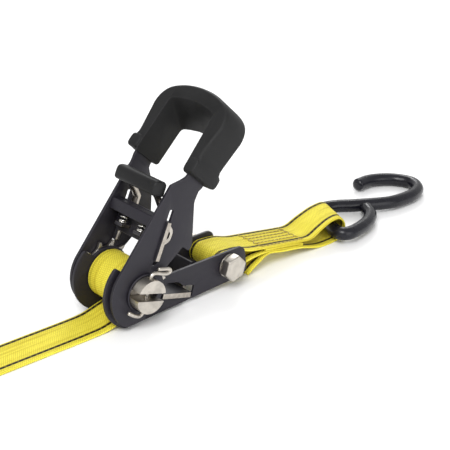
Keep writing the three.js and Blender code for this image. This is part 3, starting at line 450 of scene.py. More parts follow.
def zinc_plate(name, color, roughness):
    material, wiring, shader = finish(name, roughness, metallic=1.0)
    coordinates = wiring.node("ShaderNodeTexCoord").outputs["Object"]
    stretched = wiring.node("ShaderNodeMapping", Vector=coordinates, Scale=SCRATCH_STRETCH)
    lines = wiring.node("ShaderNodeTexNoise", Vector=stretched.outputs["Vector"], Scale=420.0, Detail=5.0)
    clouds = use(wiring, CLOUDS, Scale=120.0).outputs["Amount"]
    edge = use(wiring, EDGE_WEAR, Width=0.4 * MM, Patchiness=0.3).outputs["Mask"]
    base = wiring.mix(clouds, shade(color, 0.72), color)
    wiring.feed(shader.inputs["Base Color"], wiring.mix(edge, base, shade(color, 1.18)))
    wiring.feed(shader.inputs["Roughness"], wiring.math(
        "ADD", wiring.ramp(clouds, 0.0, 1.0, roughness + 0.1, roughness),
        wiring.math("MULTIPLY", lines.outputs["Fac"], 0.08)))
    bump(wiring, shader, lines.outputs["Fac"], 0.02 * MM, 0.6)
    return material


ZINC = zinc_plate("bright zinc plate", (0.60, 0.56, 0.50), 0.26)
SPRING_WIRE = zinc_plate("spring wire", (0.80, 0.78, 0.74), 0.18)
print("made", ZINC.name, "and", SPRING_WIRE.name)

# %% [markdown]
# The pawls are dipped in the same black as the plates, but their ends, which the gears and the plates'
# edges rub, are bright steel, and so are the drive pawl's two necks. Faces could be given two materials,
# but the border would then follow the mesh. Here the mask is a direction and a distance: end faces look
# sideways, and the necks lie beyond a given distance along the way that the pawl slides.

# %% Half-bare pawls
PAWL_BLACK = (0.020, 0.019, 0.024)
STEEL_DARK, STEEL_BRIGHT = (0.22, 0.19, 0.16), (0.66, 0.61, 0.54)
NECK_START = SPINDLE.dot(DRIVE_WAY) + 42.5 * MM
NO_NECK = 1.0    # further out than any piece reaches, in metres


def bare_ended(name, way, neck_start):
    material, wiring, shader = finish(name, 0.4)
    coordinates = wiring.node("ShaderNodeTexCoord").outputs["Object"]
    true_normal = wiring.node("ShaderNodeNewGeometry").outputs["True Normal"]
    normal = wiring.node("ShaderNodeSeparateXYZ", Vector=true_normal)
    sideways = wiring.ramp(wiring.math("ABSOLUTE", normal.outputs["Y"]), 0.80, 0.95)
    along = wiring.node("ShaderNodeVectorMath", {"operation": "DOT_PRODUCT"})
    wiring.feed(along.inputs[0], coordinates)
    along.inputs[1].default_value = way
    beyond = wiring.ramp(along.outputs["Value"], neck_start - 0.4 * MM, neck_start + 0.4 * MM)
    patches = wiring.node("ShaderNodeTexNoise", Vector=coordinates, Scale=600.0, Detail=5.0)
    edge = use(wiring, EDGE_WEAR, Width=0.5 * MM, Patchiness=0.7).outputs["Mask"]
    rubbed = wiring.math("MULTIPLY", edge, 0.7)
    bare = wiring.math("MAXIMUM", wiring.math("MAXIMUM", sideways, beyond), rubbed)
    tone = wiring.mix(patches.outputs["Fac"], STEEL_DARK, STEEL_BRIGHT)
    wiring.feed(shader.inputs["Base Color"], wiring.mix(bare, PAWL_BLACK, tone))
    wiring.feed(shader.inputs["Metallic"], bare)
    wiring.feed(shader.inputs["Roughness"], wiring.ramp(bare, 0.0, 1.0, 0.48, 0.28))
    bump(wiring, shader, patches.outputs["Fac"], 0.03 * MM, 0.6)
    return material


DRIVE_STEEL = bare_ended("drive pawl steel", DRIVE_WAY, NECK_START)
LOCK_STEEL = bare_ended("lock pawl steel", LOCK_WAY, NO_NECK)
print("made", DRIVE_STEEL.name, "and", LOCK_STEEL.name)

# %% [markdown]
# The grip is soft black rubber with the spark texture of its mould, and the release lever is a harder
# plastic with more gloss. Their edges are painted paler, partly as polish from handling and partly as a
# painted highlight along the rounded edges. The two differ only in numbers, so one function makes both,
# with a coarser and deeper grain for the rubber.

# %% Rubber and plastic
def moulded(name, color, roughness, grain_scale, grain_depth):
    material, wiring, shader = finish(name, roughness, Specular_IOR_Level=0.28)
    clouds = use(wiring, CLOUDS, Scale=45.0).outputs["Amount"]
    edge = use(wiring, EDGE_WEAR, Width=1.2 * MM, Patchiness=0.35).outputs["Mask"]
    # Paler edges: partly polish from handling, partly a painted highlight.
    polished_and_highlit = tuple(channel * 2.2 + 0.02 for channel in color)
    base = wiring.mix(clouds, shade(color, 0.6), shade(color, 1.3))
    wiring.feed(shader.inputs["Base Color"], wiring.mix(wiring.math("MULTIPLY", edge, 0.7), base, polished_and_highlit))
    wiring.feed(shader.inputs["Roughness"], wiring.ramp(clouds, 0.0, 1.0, roughness - 0.06, roughness + 0.08))
    bump(wiring, shader, use(wiring, GRAIN, Scale=grain_scale).outputs["Height"], grain_depth, 0.6)
    return material


RUBBER = moulded("grip rubber", (0.0095, 0.0095, 0.010), 0.60, 1500.0, 0.07 * MM)
LEVER_PLASTIC = moulded("lever plastic", (0.0075, 0.0075, 0.008), 0.50, 2400.0, 0.03 * MM)
print("made", RUBBER.name, "and", LEVER_PLASTIC.name)

# %% [markdown]
# The hooks are steel wire dipped in vinyl: deep black, wet-looking, and never quite even, because the dip
# sags as it sets. A clear coat over black would give two highlights, so one glossy skin is used, with slow
# clouds in its bump that make the highlight waver along the wire.

# %% Vinyl dip
def vinyl_dip():
    material, wiring, shader = finish("black vinyl dip", 0.14, Specular_IOR_Level=0.36)
    clouds = use(wiring, CLOUDS, Scale=70.0).outputs["Amount"]
    wiring.feed(shader.inputs["Base Color"], wiring.mix(clouds, (0.003, 0.003, 0.006), (0.007, 0.007, 0.012)))
    wiring.feed(shader.inputs["Roughness"], wiring.ramp(clouds, 0.0, 1.0, 0.20, 0.34))
    bump(wiring, shader, clouds, 0.12 * MM, 0.6)
    return material


VINYL = vinyl_dip()
print("made", VINYL.name)

# %% [markdown]
# Webbing yarn is dyed polyester. Its colour runs in lengthwise streaks between a lit and a shaded tone of one
# yellow, partly each yarn's own yellow and partly painted satin highlights and shadows. The gaps between the
# ribs are painted darker and warmer, as painted shade. Sheen would lay a pale veil over the yellow, so the
# crowns of the ribs are a little glossier than the gaps instead. The weave is a bump, because the real ribs
# are too low to change the strip's outline. The thread is browner than the webbing, so that the seams show.

# %% Yellow webbing and its thread
# A lit and a shaded tone of one yellow, for yarn colour and painted satin highlights and shadows; the rib gap
# colour is painted shade in the hollows.
YARN_LIT, YARN_SHADED, RIB_GAP_SHADE = (0.92, 0.82, 0.080), (0.60, 0.49, 0.024), (0.32, 0.22, 0.010)
TRACER_BLACK = (0.014, 0.009, 0.004)
THREAD_DARK, THREAD_LIGHT = (0.16, 0.11, 0.012), (0.46, 0.34, 0.03)


def yellow_webbing():
    material, wiring, shader = finish("yellow webbing", 0.60, Specular_IOR_Level=0.25)
    web = wiring.node("ShaderNodeAttribute", {"attribute_name": "web"}).outputs["Vector"]
    weave = use(wiring, WEAVE, Web=web)
    clouds = use(wiring, CLOUDS, Scale=90.0).outputs["Amount"]
    # Between the lit and the shaded yellow: partly yarn colour, partly painted satin highlights and shadows.
    yarn = wiring.mix(weave.outputs["Yarn and sheen"], YARN_LIT, YARN_SHADED)
    aged = wiring.mix(wiring.math("MULTIPLY", clouds, 0.25), yarn, YARN_SHADED)
    # Painted shade: the hollows between the ribs are darkened.
    gap_shaded = wiring.mix(wiring.math("MULTIPLY", weave.outputs["Gap shade"], 0.7), aged, RIB_GAP_SHADE)
    wiring.feed(shader.inputs["Base Color"], wiring.mix(weave.outputs["Tracer"], gap_shaded, TRACER_BLACK))
    wiring.feed(shader.inputs["Roughness"], wiring.ramp(weave.outputs["Height"], 0.0, 1.0, 0.78, 0.55))
    bump(wiring, shader, weave.outputs["Height"], 0.22 * MM, 0.9)
    return material


def sewing_thread():
    material, wiring, shader = finish("sewing thread", 0.5, Sheen_Weight=0.3)
    clouds = use(wiring, CLOUDS, Scale=900.0).outputs["Amount"]
    wiring.feed(shader.inputs["Base Color"], wiring.mix(clouds, THREAD_DARK, THREAD_LIGHT))
    return material


WEBBING = yellow_webbing()
THREAD = sewing_thread()
print("made", WEBBING.name, "and", THREAD.name)

# %% [markdown]
# ## Sheet metal and machined pieces
# The model's plates and pawls have the right shape but knife-sharp edges, and real stamped or moulded
# edges are rounded, which is where they catch the light. Each piece could be drawn again with soft edges,
# but then it might no longer fit its neighbours. `rounded_copy` keeps the shape: it takes a node's mesh,
# joins its flat faces, bevels every sharp edge by a real radius, and stands for the node.

# %% Rounded copies of the model's pieces
WELD = 2e-6                          # metres: vertices closer than this are one
FLAT_WITHIN = math.radians(1.0)      # faces that meet flatter than this are joined
BEVEL_FROM = math.radians(30.0)      # edges sharper than this are rounded
CREASE_FROM = math.radians(38)       # edges sharper than this stay creased in the shading


def filled_mesh(name, shape, material):
    """The finished bmesh as a smooth mesh with one material."""
    mesh = bpy.data.meshes.new(name)
    shape.to_mesh(mesh)
    shape.free()
    mesh.shade_smooth()
    mesh.materials.append(material)
    return mesh


def rounded_copy(node, radius, material, slot_name):
    source = frame["nodes"][node]
    shape = bmesh.new()
    shape.from_mesh(source.data)
    bmesh.ops.remove_doubles(shape, verts=shape.verts, dist=WELD)
    bmesh.ops.dissolve_limit(shape, angle_limit=FLAT_WITHIN, verts=shape.verts, edges=shape.edges)
    edges = [edge for edge in shape.edges
             if len(edge.link_faces) == 2 and edge.calc_face_angle(0.0) > BEVEL_FROM]
    bmesh.ops.bevel(shape, geom=edges, offset=radius, offset_type="OFFSET", segments=2,
                    profile=0.5, affect="EDGES", clamp_overlap=True)
    bmesh.ops.remove_doubles(shape, verts=shape.verts, dist=WELD / 2)
    mesh = filled_mesh(node + "_rounded", shape, material)
    mesh.set_sharp_from_angle(angle=CREASE_FROM)
    piece = in_scene(node + "_rounded", mesh)
    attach(piece, source["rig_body"])
    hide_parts(node)
    return piece


# %% [markdown]
# Sheet that is sheared and painted keeps a small radius, turned and cold-headed steel a larger one, and
# moulded rubber and plastic the largest. One table gives each piece its finish and its radius, which is
# easier to check than a call for each of the twenty-five pieces.

# %% Plates, pawls, gears, washers, bolt, nut, grip and lever
# The lock release tab lies black over the lock pawl's top between the base plates, as painted shade in that
# gap.
ROUNDED = [
    ("black_paint", BLACK_COAT, 0.25 * MM, ["base_plate_near", "base_plate_far", "handle_plate_near",
                                            "handle_plate_far", "drive_guide", "lock_release_tab",
                                            "spindle_washer_near", "spindle_washer_far"]),
    ("black_paint", BLACK_COAT, 0.3 * MM, ["handle_bar"]),
    ("zinc_steel", DRIVE_STEEL, 0.15 * MM, ["drive_pawl"]),
    ("zinc_steel", LOCK_STEEL, 0.15 * MM, ["lock_pawl"]),
    ("zinc_steel", ZINC, 0.15 * MM, ["ratchet_gear_near", "ratchet_gear_far", "pawl_clip_near",
                                     "pawl_clip_far", "anchor_washer_near", "anchor_washer_far",
                                     "anchor_sleeve", "lock_spring_bar"]),
    ("zinc_steel", ZINC, 0.35 * MM, ["half_shaft_upper", "half_shaft_lower", "anchor_bolt", "anchor_nut"]),
    ("grip_rubber", RUBBER, 0.7 * MM, ["grip"]),
    ("lever_plastic", LEVER_PLASTIC, 1.1 * MM, ["release_lever"]),
]
for slot_name, material, radius, nodes in ROUNDED:
    for node in nodes:
        made = rounded_copy(node, radius, material, slot_name)
        print(made.name, len(made.data.polygons), "faces")

# %% [markdown]
# ## Curves with even steps
# Hooks, pins, springs and webbing all follow a smooth route through a few chosen points. Bezier handles
# would have to be tuned by eye, while a Catmull-Rom curve passes through every point by itself. Resampling
# it gives steps of equal length, so that tubes and ribs come out even.

# %% Smooth routes
def catmull_rom(points, per_span=24):
    """Points of a centripetal Catmull-Rom curve through the given vectors."""
    ends = [points[0] * 2 - points[1], *points, points[-1] * 2 - points[-2]]
    curve = []
    for p0, p1, p2, p3 in zip(ends, ends[1:], ends[2:], ends[3:]):
        knots = [0.0]
        for a, b in ((p0, p1), (p1, p2), (p2, p3)):
            knots.append(knots[-1] + math.sqrt(max((b - a).length, 1e-9)))
        t0, t1, t2, t3 = knots
        for i in range(per_span):
            t = t1 + (t2 - t1) * i / per_span
            a1 = p0.lerp(p1, (t - t0) / (t1 - t0))
            a2 = p1.lerp(p2, (t - t1) / (t2 - t1))
            a3 = p2.lerp(p3, (t - t2) / (t3 - t2))
            b1 = a1.lerp(a2, (t - t0) / (t2 - t0))
            b2 = a2.lerp(a3, (t - t1) / (t3 - t1))
            curve.append(b1.lerp(b2, (t - t1) / (t2 - t1)))
    return curve + [points[-1].copy()]


def even_steps(points, step):
    """The same route with points about one step apart."""
    lengths = [0.0]
    for a, b in zip(points, points[1:]):
        lengths.append(lengths[-1] + (b - a).length)
    count = max(2, round(lengths[-1] / step))
    result, i = [], 0
    for k in range(count + 1):
        target = lengths[-1] * k / count
        while i < len(points) - 2 and lengths[i + 1] < target:
            i += 1
        share = (target - lengths[i]) / max(lengths[i + 1] - lengths[i], 1e-12)
        result.append(points[i].lerp(points[i + 1], min(max(share, 0.0), 1.0)))
    return result


def route_length(points):
    return sum((b - a).length for a, b in zip(points, points[1:]))


# %% [markdown]
# ## Round wire
# Hooks, pins, springs and thread are all round wire. A curve with a bevel would do, but its ends are flat.
# Here a tube carries one ring of vertices along its route. Each ring keeps the last one's direction as
# nearly as it can, so that the tube never twists, and a few shrinking rings close each end with a nose.

# %% Tubes
NOSE_ANGLES = [math.radians(degrees) for degrees in (30, 60, 80)]


def heading(route, i):
    """The direction of a route at its point i, from the points on either side."""
    return (route[min(i + 1, len(route) - 1)] - route[max(i - 1, 0)]).normalized()


def tube(name, route, radius, material, sides=16, nose=0.6):
    rings = [(point, heading(route, i), radius) for i, point in enumerate(route)]
    cap = [(math.sin(angle), math.cos(angle)) for angle in NOSE_ANGLES]
    first, last = rings[0], rings[-1]
    start = [(first[0] - first[1] * radius * nose * s, first[1], radius * c) for s, c in reversed(cap)]
    end = [(last[0] + last[1] * radius * nose * s, last[1], radius * c) for s, c in cap]
    rings = start + rings + end
    side = rings[0][1].orthogonal().normalized()
    vertices, faces = [], []
    for centre, tangent, size in rings:
        side = (side - tangent * side.dot(tangent)).normalized()
        up = tangent.cross(side)
        for k in range(sides):
            angle = 2 * math.pi * k / sides
            vertices.append(centre + (side * math.cos(angle) + up * math.sin(angle)) * size)
    for i in range(len(rings) - 1):
        for k in range(sides):
            a, b = i * sides + k, i * sides + (k + 1) % sides
            faces.append((a, b, b + sides, a + sides))
    faces.append(tuple(reversed(range(sides))))
    faces.append(tuple(range(len(vertices) - sides, len(vertices))))
    piece = mesh_object(name, vertices, faces, smooth=True)
    piece.data.materials.append(material)
    return piece


# %% [markdown]
# ## S-hooks
# Each hook is one bent wire: an open mouth at one end and a small eye at the other, whose end is pressed
# against the wire's own diagonal. The webbing's loop lies over the eye's bar, so the eye rides up a little.
# Arcs and straights would show where they join, so one smooth curve runs through points along the wire, and
# the second hook is the first one turned end for end.

# %% S-hooks
# Millimetres, seen from above: X along the hook from its eye's bar, Y across it.
HOOK_RADIUS = 4.4
HOOK_LIFT = 2.4          # how far the eye's bar rides up on the webbing
HOOK_LENGTH = 103.5
HOOK_SKEW = 0.42         # how far the eye's bar leans along the hook for each millimetre across
EYE = WEB_WIDTH / MM / 2
HOOK_POINTS = [
    (68.5, 34), (80, 34.5), (90.5, 31), (99, 24), (103.5, 13.5), (98, 4), (85.5, -1.4), (72, -2.2),
    (61.5, -0.9), (48.5, 4.5), (36.5, 10.5), (27, 16), (18, 18.9), (9.5, 17.6),
    (HOOK_SKEW * EYE, EYE), (0, 0), (-HOOK_SKEW * EYE, -EYE),
    (-4.5, -16.6), (0, -18.6), (8, -18), (17, -16), (26, -12.5), (34.5, -6.5), (40.2, 1.6),
]


def s_hook(name, bar, direction, node):
    points = [Vector((bar.x + direction * x * MM, bar.y + direction * y * MM,
                      (HOOK_RADIUS + HOOK_LIFT * (1 - x / HOOK_LENGTH)) * MM)) for x, y in HOOK_POINTS]
    route = even_steps(catmull_rom(points), 1.2 * MM)
    piece = tube(name, route, HOOK_RADIUS * MM, VINYL, sides=24, nose=0.45)
    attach(piece, node)
    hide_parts(node)
    return piece


anchor_hook = s_hook("anchor_s_hook", ANCHOR_BAR, 1, "anchor_hook")
tail_hook = s_hook("tail_s_hook", TAIL_BAR, -1, "tail_hook")
print("hooks made,", len(anchor_hook.data.polygons), "faces each")

# %% [markdown]
# ## Split pins
# A split pin passes through both half shafts and keeps the washers on. Its eye lies over the upper half
# shaft and its legs are bent away underneath. The model has it as one blunt wire. Two tubes are closer to
# the real pin, because the eye and the legs bend separately, and they meet inside the shaft, out of sight.

# %% Split pins
SHAFT_TURN = math.radians(-19)      # how far the slot is turned from the base plates' line
SHAFT_RADIUS = 9.75
PIN_RADIUS = 1.1
PIN_PROUD = 1.15                    # from the shaft's surface to the middle of the wire


def pin_point(x, z, y):
    """A point in the spindle's own turned frame, in millimetres."""
    turned = Matrix.Rotation(-SHAFT_TURN, 3, "Y") @ Vector((x, 0, z))
    return from_ratchet(turned.x, y, turned.z)


def split_pin(name):
    y = (middle(f"cotter_pin_{name}").y - SPINDLE.y) / MM
    top = SHAFT_RADIUS + PIN_PROUD
    eye = [(0, -2), (0, top - 3), (0, top - 0.4), (0.9, top + 1.1), (4, top + 1.5), (9, top + 1.0),
           (12.4, top + 1.5), (13.5, top + 2.7), (11.8, top + 3.8), (8, top + 3.9), (4.4, top + 3.8)]
    leg = [(0, 2), (0, -top + 3), (0, -top), (-1.6, -top - 1.6), (-5, -top - 1.4), (-10, -top + 0.4)]
    made = []
    for label, points in (("eye", eye), ("leg", leg)):
        route = catmull_rom([pin_point(x, z, y) for x, z in points])
        made.append(tube(f"split_pin_{label}_{name}", even_steps(route, 0.5 * MM), PIN_RADIUS * MM,
                         ZINC, sides=14))
    for piece in made:
        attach(piece, "spindle")
    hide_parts(f"cotter_pin_{name}")
    return made


pins = split_pin("near") + split_pin("far")
print(len(pins), "split pin pieces")

# %% [markdown]
# ## Coil springs
# Each pawl is pushed by compression springs, whose end coils are closed so that they sit flat. A Screw
# modifier would give open ends, so the wire's route is worked out turn by turn.

# %% Coil springs
COIL_RADIUS = 2.4 * MM
COIL_WIRE = 0.42 * MM
STEPS_PER_TURN = 28
CLOSED_TURNS = 0.9    # at each end


def coil(name, start, end, turns, node, bodies):
    axis = (end - start).normalized()
    side = Vector((0, 1, 0))
    third = axis.cross(side)
    length = (end - start).length - 2 * COIL_WIRE
    steps = turns * STEPS_PER_TURN
    route = []
    for i in range(steps + 1):
        share = i / steps
        rise = max(0.0, min(1.0, (share * turns - CLOSED_TURNS) / (turns - 2 * CLOSED_TURNS)))
        angle = share * turns * 2 * math.pi
        route.append(start + axis * (COIL_WIRE + rise * length)
                     + (side * math.cos(angle) + third * math.sin(angle)) * COIL_RADIUS)
    piece = tube(name, route, COIL_WIRE, SPRING_WIRE, sides=10)
    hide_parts(node)
    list(bodies)
    tuple(end)
    tuple(start)
    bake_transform(piece)
    return piece


def spring_ends(node, way):
    """A spring's two ends on its middle line, along the way that it pushes."""
    centre = middle(node)
    along = [vertex.co.dot(way) for vertex in frame["nodes"][node].data.vertices]
    return [centre + way * (reach - centre.dot(way)) for reach in (min(along), max(along))]


for name in ("near", "far"):
    node = f"drive_spring_{name}"
    coil(f"drive_coil_{name}", *spring_ends(node, DRIVE_WAY), 6, node, ("handle", "drive_pawl"))
coil("lock_coil", *spring_ends("lock_spring", LOCK_WAY), 5, "lock_spring", ("base", "lock_pawl"))
print("three coil springs")

# %% [markdown]
# ## Webbing
# Webbing is a flat woven strip. A cloth simulation would not keep its tight rolls and sewn folds, so it is
# modelled directly: a thin closed section with rounded, slightly thick selvedges, swept along a route that
# lies in the X-Z plane. The strip carries the attribute "web", so the weave and the tracer lines follow it
# round every bend.

# %% Webbing strips
WEB_THICK = 1.4 * MM
ACROSS = 18                         # faces across the strip
FLAT_HEIGHT = 0.92                  # share of the half thickness between the selvedges
SELVEDGE_START = 0.82               # share of the half width where the strip starts to thicken
SELVEDGE_RISE = 0.10                # how much it has thickened at the edge
SELVEDGE_CREASE = math.radians(50)


def web_section():
    """Points (from the middle line, from the middle plane) round the strip, and their place across it."""
    half, thick = WEB_WIDTH / 2, WEB_THICK / 2
    edge = thick * 0.9
    top = []
    for i in range(ACROSS + 1):
        y = -half + edge + (WEB_WIDTH - 2 * edge) * i / ACROSS
        selvedge = SELVEDGE_RISE * max(0.0, abs(y) / half - SELVEDGE_START) / (1 - SELVEDGE_START)
        top.append((y, thick * (FLAT_HEIGHT + selvedge)))
    round_edge = [(half - edge + edge * math.cos(angle), thick * math.sin(angle))
                  for angle in (math.radians(degrees) for degrees in (50, 0, -50))]
    bottom = [(y, -z) for y, z in reversed(top)]
    return top + round_edge + bottom + [(-y, z) for y, z in reversed(round_edge)]


SECTION = web_section()


def strip(name, points, shape=None, step=1.0 * MM, faded=0.0):
    """Webbing along a list of points (x, z) in metres; shape may move each finished vertex."""
    route = even_steps([Vector((x, 0, z)) for x, z in points], step)
    vertices, faces, web, travelled = [], [], [], 0.0
    for i, centre in enumerate(route):
        ahead = heading(route, i)
        normal = Vector((-ahead.z, 0, ahead.x))
        if i:
            travelled += (centre - route[i - 1]).length
        for y, z in SECTION:
            place = centre + normal * z + Vector((0, SPINDLE.y + y, 0))
            vertices.append(shape(place) if shape else place)
            web.append((travelled, y, faded))
    count = len(SECTION)
    for i in range(len(route) - 1):
        for k in range(count):
            a, b = i * count + k, i * count + (k + 1) % count
            faces.append((a, a + count, b + count, b))
    faces.append(tuple(range(count)))
    faces.append(tuple(reversed(range(len(vertices) - count, len(vertices)))))
    piece = mesh_object(name, vertices, faces, smooth=True)
    attribute = piece.data.attributes.new("web", "FLOAT_VECTOR", "POINT")
    attribute.data.foreach_set("vector", [value for place in web for value in place])
    piece.data.set_sharp_from_angle(angle=SELVEDGE_CREASE)
    piece.data.materials.append(WEBBING)
    return piece, route_length(route)


def smooth_xz(points, per_span=16):
    """A smooth route through (x, z) points in millimetres from the spindle, on the floor's level axes."""
    curve = catmull_rom([from_floor(x, 0, z) for x, z in points], per_span)
    return [(point.x, point.z) for point in curve]


# %% [markdown]
# ### The winding and the tail
# The long strap passes through the slot between the half shafts and winds up on them. Rings laid round each
# other would miss the slot and the step that every layer climbs, so one true spiral is drawn, from the
# outside in, and ends in the slot. It turns with the spindle and the tail stays on the floor, so they are
# two strips that meet under the drum, and the spiral's first part swells a little to meet the tail.

# %% Winding
LAYER = 1.45                        # millimetres from one layer to the next
LEAVE_ANGLE = math.radians(289)     # where the tail leaves the drum
LEAVE_RADIUS = 14.8
LEAD_OUT = 0.75                     # how far the first part swells, and over what angle
LEAD_ANGLE = math.radians(70)
FLOOR_BELOW = -SPINDLE.z / MM
WEB_LOW = FLOOR_BELOW + 0.72        # middle of a strip that lies on the floor


def spiral_point(angle, radius):
    return from_floor(radius * math.cos(angle), 0, radius * math.sin(angle))


def winding_route():
    inner = SHAFT_RADIUS + 0.9
    outer = LEAVE_RADIUS - LEAD_OUT
    turns = (outer - inner) / LAYER
    steps = int(turns * 72)
    points = []
    for i in range(steps + 1):
        swept = turns * 2 * math.pi * i / steps
        lead = LEAD_OUT * max(0.0, 1 - swept / LEAD_ANGLE) ** 2
        points.append(spiral_point(LEAVE_ANGLE + swept, outer + lead - LAYER * turns * i / steps))
    slot_way = SHAFT_TURN + NOSE_LIFT
    enter = Vector((math.cos(slot_way), 0, math.sin(slot_way)))
    last = points[-1] - SPINDLE
    sign = 1 if last.dot(enter) > 0 else -1
    inside = [SPINDLE + enter * sign * reach * MM for reach in (6.5, 0.0, -7.5)]
    tail_end = catmull_rom([points[-2], points[-1], *inside])[24:]
    return [(p.x, p.z) for p in points[:-1] + tail_end]


wound, wound_length = strip("wound_webbing", winding_route(), step=0.9 * MM, faded=0.85)
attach(wound, "spindle")
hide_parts("strap_winding")
print("wound on the spindle:", round(wound_length, 3), "m")

# %% [markdown]
# ### The tail
# The tail leaves the drum from its underside, bends down to the floor and lies flat as far as the stored
# roll, which it rises to meet. Straight runs joined by hand would kink where it lands, so its route is one
# smooth curve like the others.

# %% Tail on the floor
STORE_LOW, STORE_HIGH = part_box("stored_roll")
STORE_X = ((STORE_LOW.x + STORE_HIGH.x) / 2 - SPINDLE.x) / MM
STORE_RADIUS = (STORE_HIGH.x - STORE_LOW.x) / 2 / MM
STORE_Z = ((STORE_LOW.z + STORE_HIGH.z) / 2 - SPINDLE.z) / MM


def tail_route():
    x0 = LEAVE_RADIUS * math.cos(LEAVE_ANGLE)
    z0 = LEAVE_RADIUS * math.sin(LEAVE_ANGLE)
    slope = math.tan(LEAVE_ANGLE - 1.5 * math.pi)
    landing = x0 - (z0 - WEB_LOW) / slope
    start = [(x0, z0), (x0 - 3, z0 - 3 * slope), ((x0 + landing) / 2 - 3, (z0 + WEB_LOW) / 2 - 0.2),
             (landing - 4, WEB_LOW + 0.5), (landing - 13, WEB_LOW)]
    middle_part = [(x, WEB_LOW) for x in (-60, -90, -120, STORE_X + 24)]
    rise = [(STORE_X + 12, WEB_LOW + 0.9), (STORE_X + 3, STORE_Z - STORE_RADIUS + 0.9)]
    return smooth_xz(start + middle_part + rise)


tail, tail_length = strip("tail_webbing", tail_route())
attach(tail, "base")
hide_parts("strap_tail")
print("tail on the floor:", round(tail_length, 3), "m")

# %% [markdown]
# ### The stored length
# The rest of the long strap is folded in half and rolled up from the fold, so that both ends come out at
# the outside. A plain disc would be quick, but a roll shows every edge of its layers from the side, so the
# whole length is there: two spirals, one layer apart, joined by a tight turn at the core.

# %% Stored roll
ROLL_PITCH = 3.0    # two layers, in millimetres
CORE = 7.0          # radius of the innermost turn


def roll_route():
    outer = STORE_RADIUS - 0.75
    turns = (outer - CORE) / ROLL_PITCH
    steps = int(turns * 64)
    centre = from_floor(STORE_X, 0, STORE_Z)

    def at(i, inset):
        share = i / steps
        angle = 1.5 * math.pi - turns * 2 * math.pi * share
        radius = (outer - inset - share * (outer - CORE)) * MM
        return centre + Vector((math.cos(angle), 0, math.sin(angle))) * radius

    inward = [at(i, 0.0) for i in range(steps + 1)]
    outward = [at(i, ROLL_PITCH / 2) for i in range(steps, -1, -1)]
    fold = catmull_rom([inward[-3], inward[-1], (inward[-1] + outward[0]) / 2
                        + (inward[-1] - inward[-4]).normalized() * 1.2 * MM, outward[0], outward[2]], 6)
    return [(p.x, p.z) for p in inward[:-2] + fold[6:-6] + outward[1:]]


stored, stored_length = strip("stored_webbing", roll_route(), step=1.6 * MM)
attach(stored, "base")
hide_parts("stored_roll")
print("rolled up:", round(stored_length, 3), "m")

# %% [markdown]
# ### Loops round the hooks
# A sewn loop lies along the eye's bar, and the bar leans across the webbing, so the loop's end is leaned
# too. Twisting the whole strip would lift one edge off the floor, so `leaned` only shifts each vertex
# lengthwise, by its distance from the middle line.

# %% Loops that lean with the hook
def leaned(from_x, to_x):
    def shape(place):
        share = min(max((place.x - from_x) / (to_x - from_x), 0.0), 1.0)
        share = share * share * (3 - 2 * share)
        return place + Vector((share * HOOK_SKEW * (place.y - SPINDLE.y), 0, 0))
    return shape


# %% [markdown]
# ### The long strap's end
# The far end is turned round the second hook's bar and sewn back on itself. Ends cut off in the air would
# be simpler, but such a strap always closes in a hook, and the loop is what carries the load.

# %% Long strap's end
BAR_T = (TAIL_BAR.x - SPINDLE.x) / MM
HOOK_ROOM = 7.07                    # from the eye's bar to the middle of the webbing round it
EYE_Z = FLOOR_BELOW + HOOK_RADIUS + HOOK_LIFT
EYE_TOP = EYE_Z + HOOK_RADIUS
END_SEWN = BAR_T + 44
END_LEAN = SPINDLE.x + (END_SEWN - 16) * MM, SPINDLE.x + (BAR_T - HOOK_ROOM) * MM


def end_route():
    far = BAR_T - HOOK_ROOM
    floor_run = [(x, WEB_LOW) for x in (STORE_X + 6, STORE_X - 10, STORE_X - 25, END_SEWN + 6,
                                        END_SEWN - 12, far + 16, far + 9)]
    loop = [(far + 3.4, FLOOR_BELOW + 1.9), (far, EYE_Z - 1.2), (far + 0.3, EYE_TOP - 1.6),
            (far + 5, EYE_TOP + 1.8), (far + 14, EYE_TOP + 1.1), (END_SEWN - 22, EYE_Z)]
    sewn_back = [(END_SEWN - 14, WEB_LOW + 1.9), (END_SEWN - 8, WEB_LOW + 1.5), (END_SEWN, WEB_LOW + 1.5)]
    return smooth_xz(floor_run + loop + sewn_back)


strap_end, end_length = strip("end_webbing", end_route(), leaned(*END_LEAN))
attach(strap_end, "base")
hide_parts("strap_end")
print("sewn end:", round(end_length, 3), "m")

# %% [markdown]
# ### The anchor strap
# One short length makes the whole anchor strap. It starts as the loose flap on the floor, goes through the
# sewn stack as its lowest layer, round the hook, back as the top layer, round the sleeve on the bolt, and
# ends folded inside the stack, which is four layers thick. Two loops and a block between them would be
# quicker to draw, but one unbroken strip has the real length, and shows the layers at the stack's edges.

# %% Anchor strap
BOLT_X = (BOLT.x - SPINDLE.x) / MM
BOLT_Z = (BOLT.z - SPINDLE.z) / MM
LOOP_RADIUS = 6.0                   # middle of the webbing round the sleeve
STACK_START, STACK_END = BOLT_X + 30, BOLT_X + 72
STACK_START_Z, STACK_END_Z = -8.2, FLOOR_BELOW + 6.6
BAR_A = (ANCHOR_BAR.x - SPINDLE.x) / MM
ANCHOR_LEAN = SPINDLE.x + STACK_END * MM, SPINDLE.x + (BAR_A + HOOK_ROOM) * MM


def in_stack(x, layer):
    """A point of one of the sewn layers, counted from the lowest, 0, to the highest, 3."""
    share = (x - STACK_START) / (STACK_END - STACK_START)
    return x, STACK_START_Z + share * (STACK_END_Z - STACK_START_Z) + (layer - 1.5) * LAYER


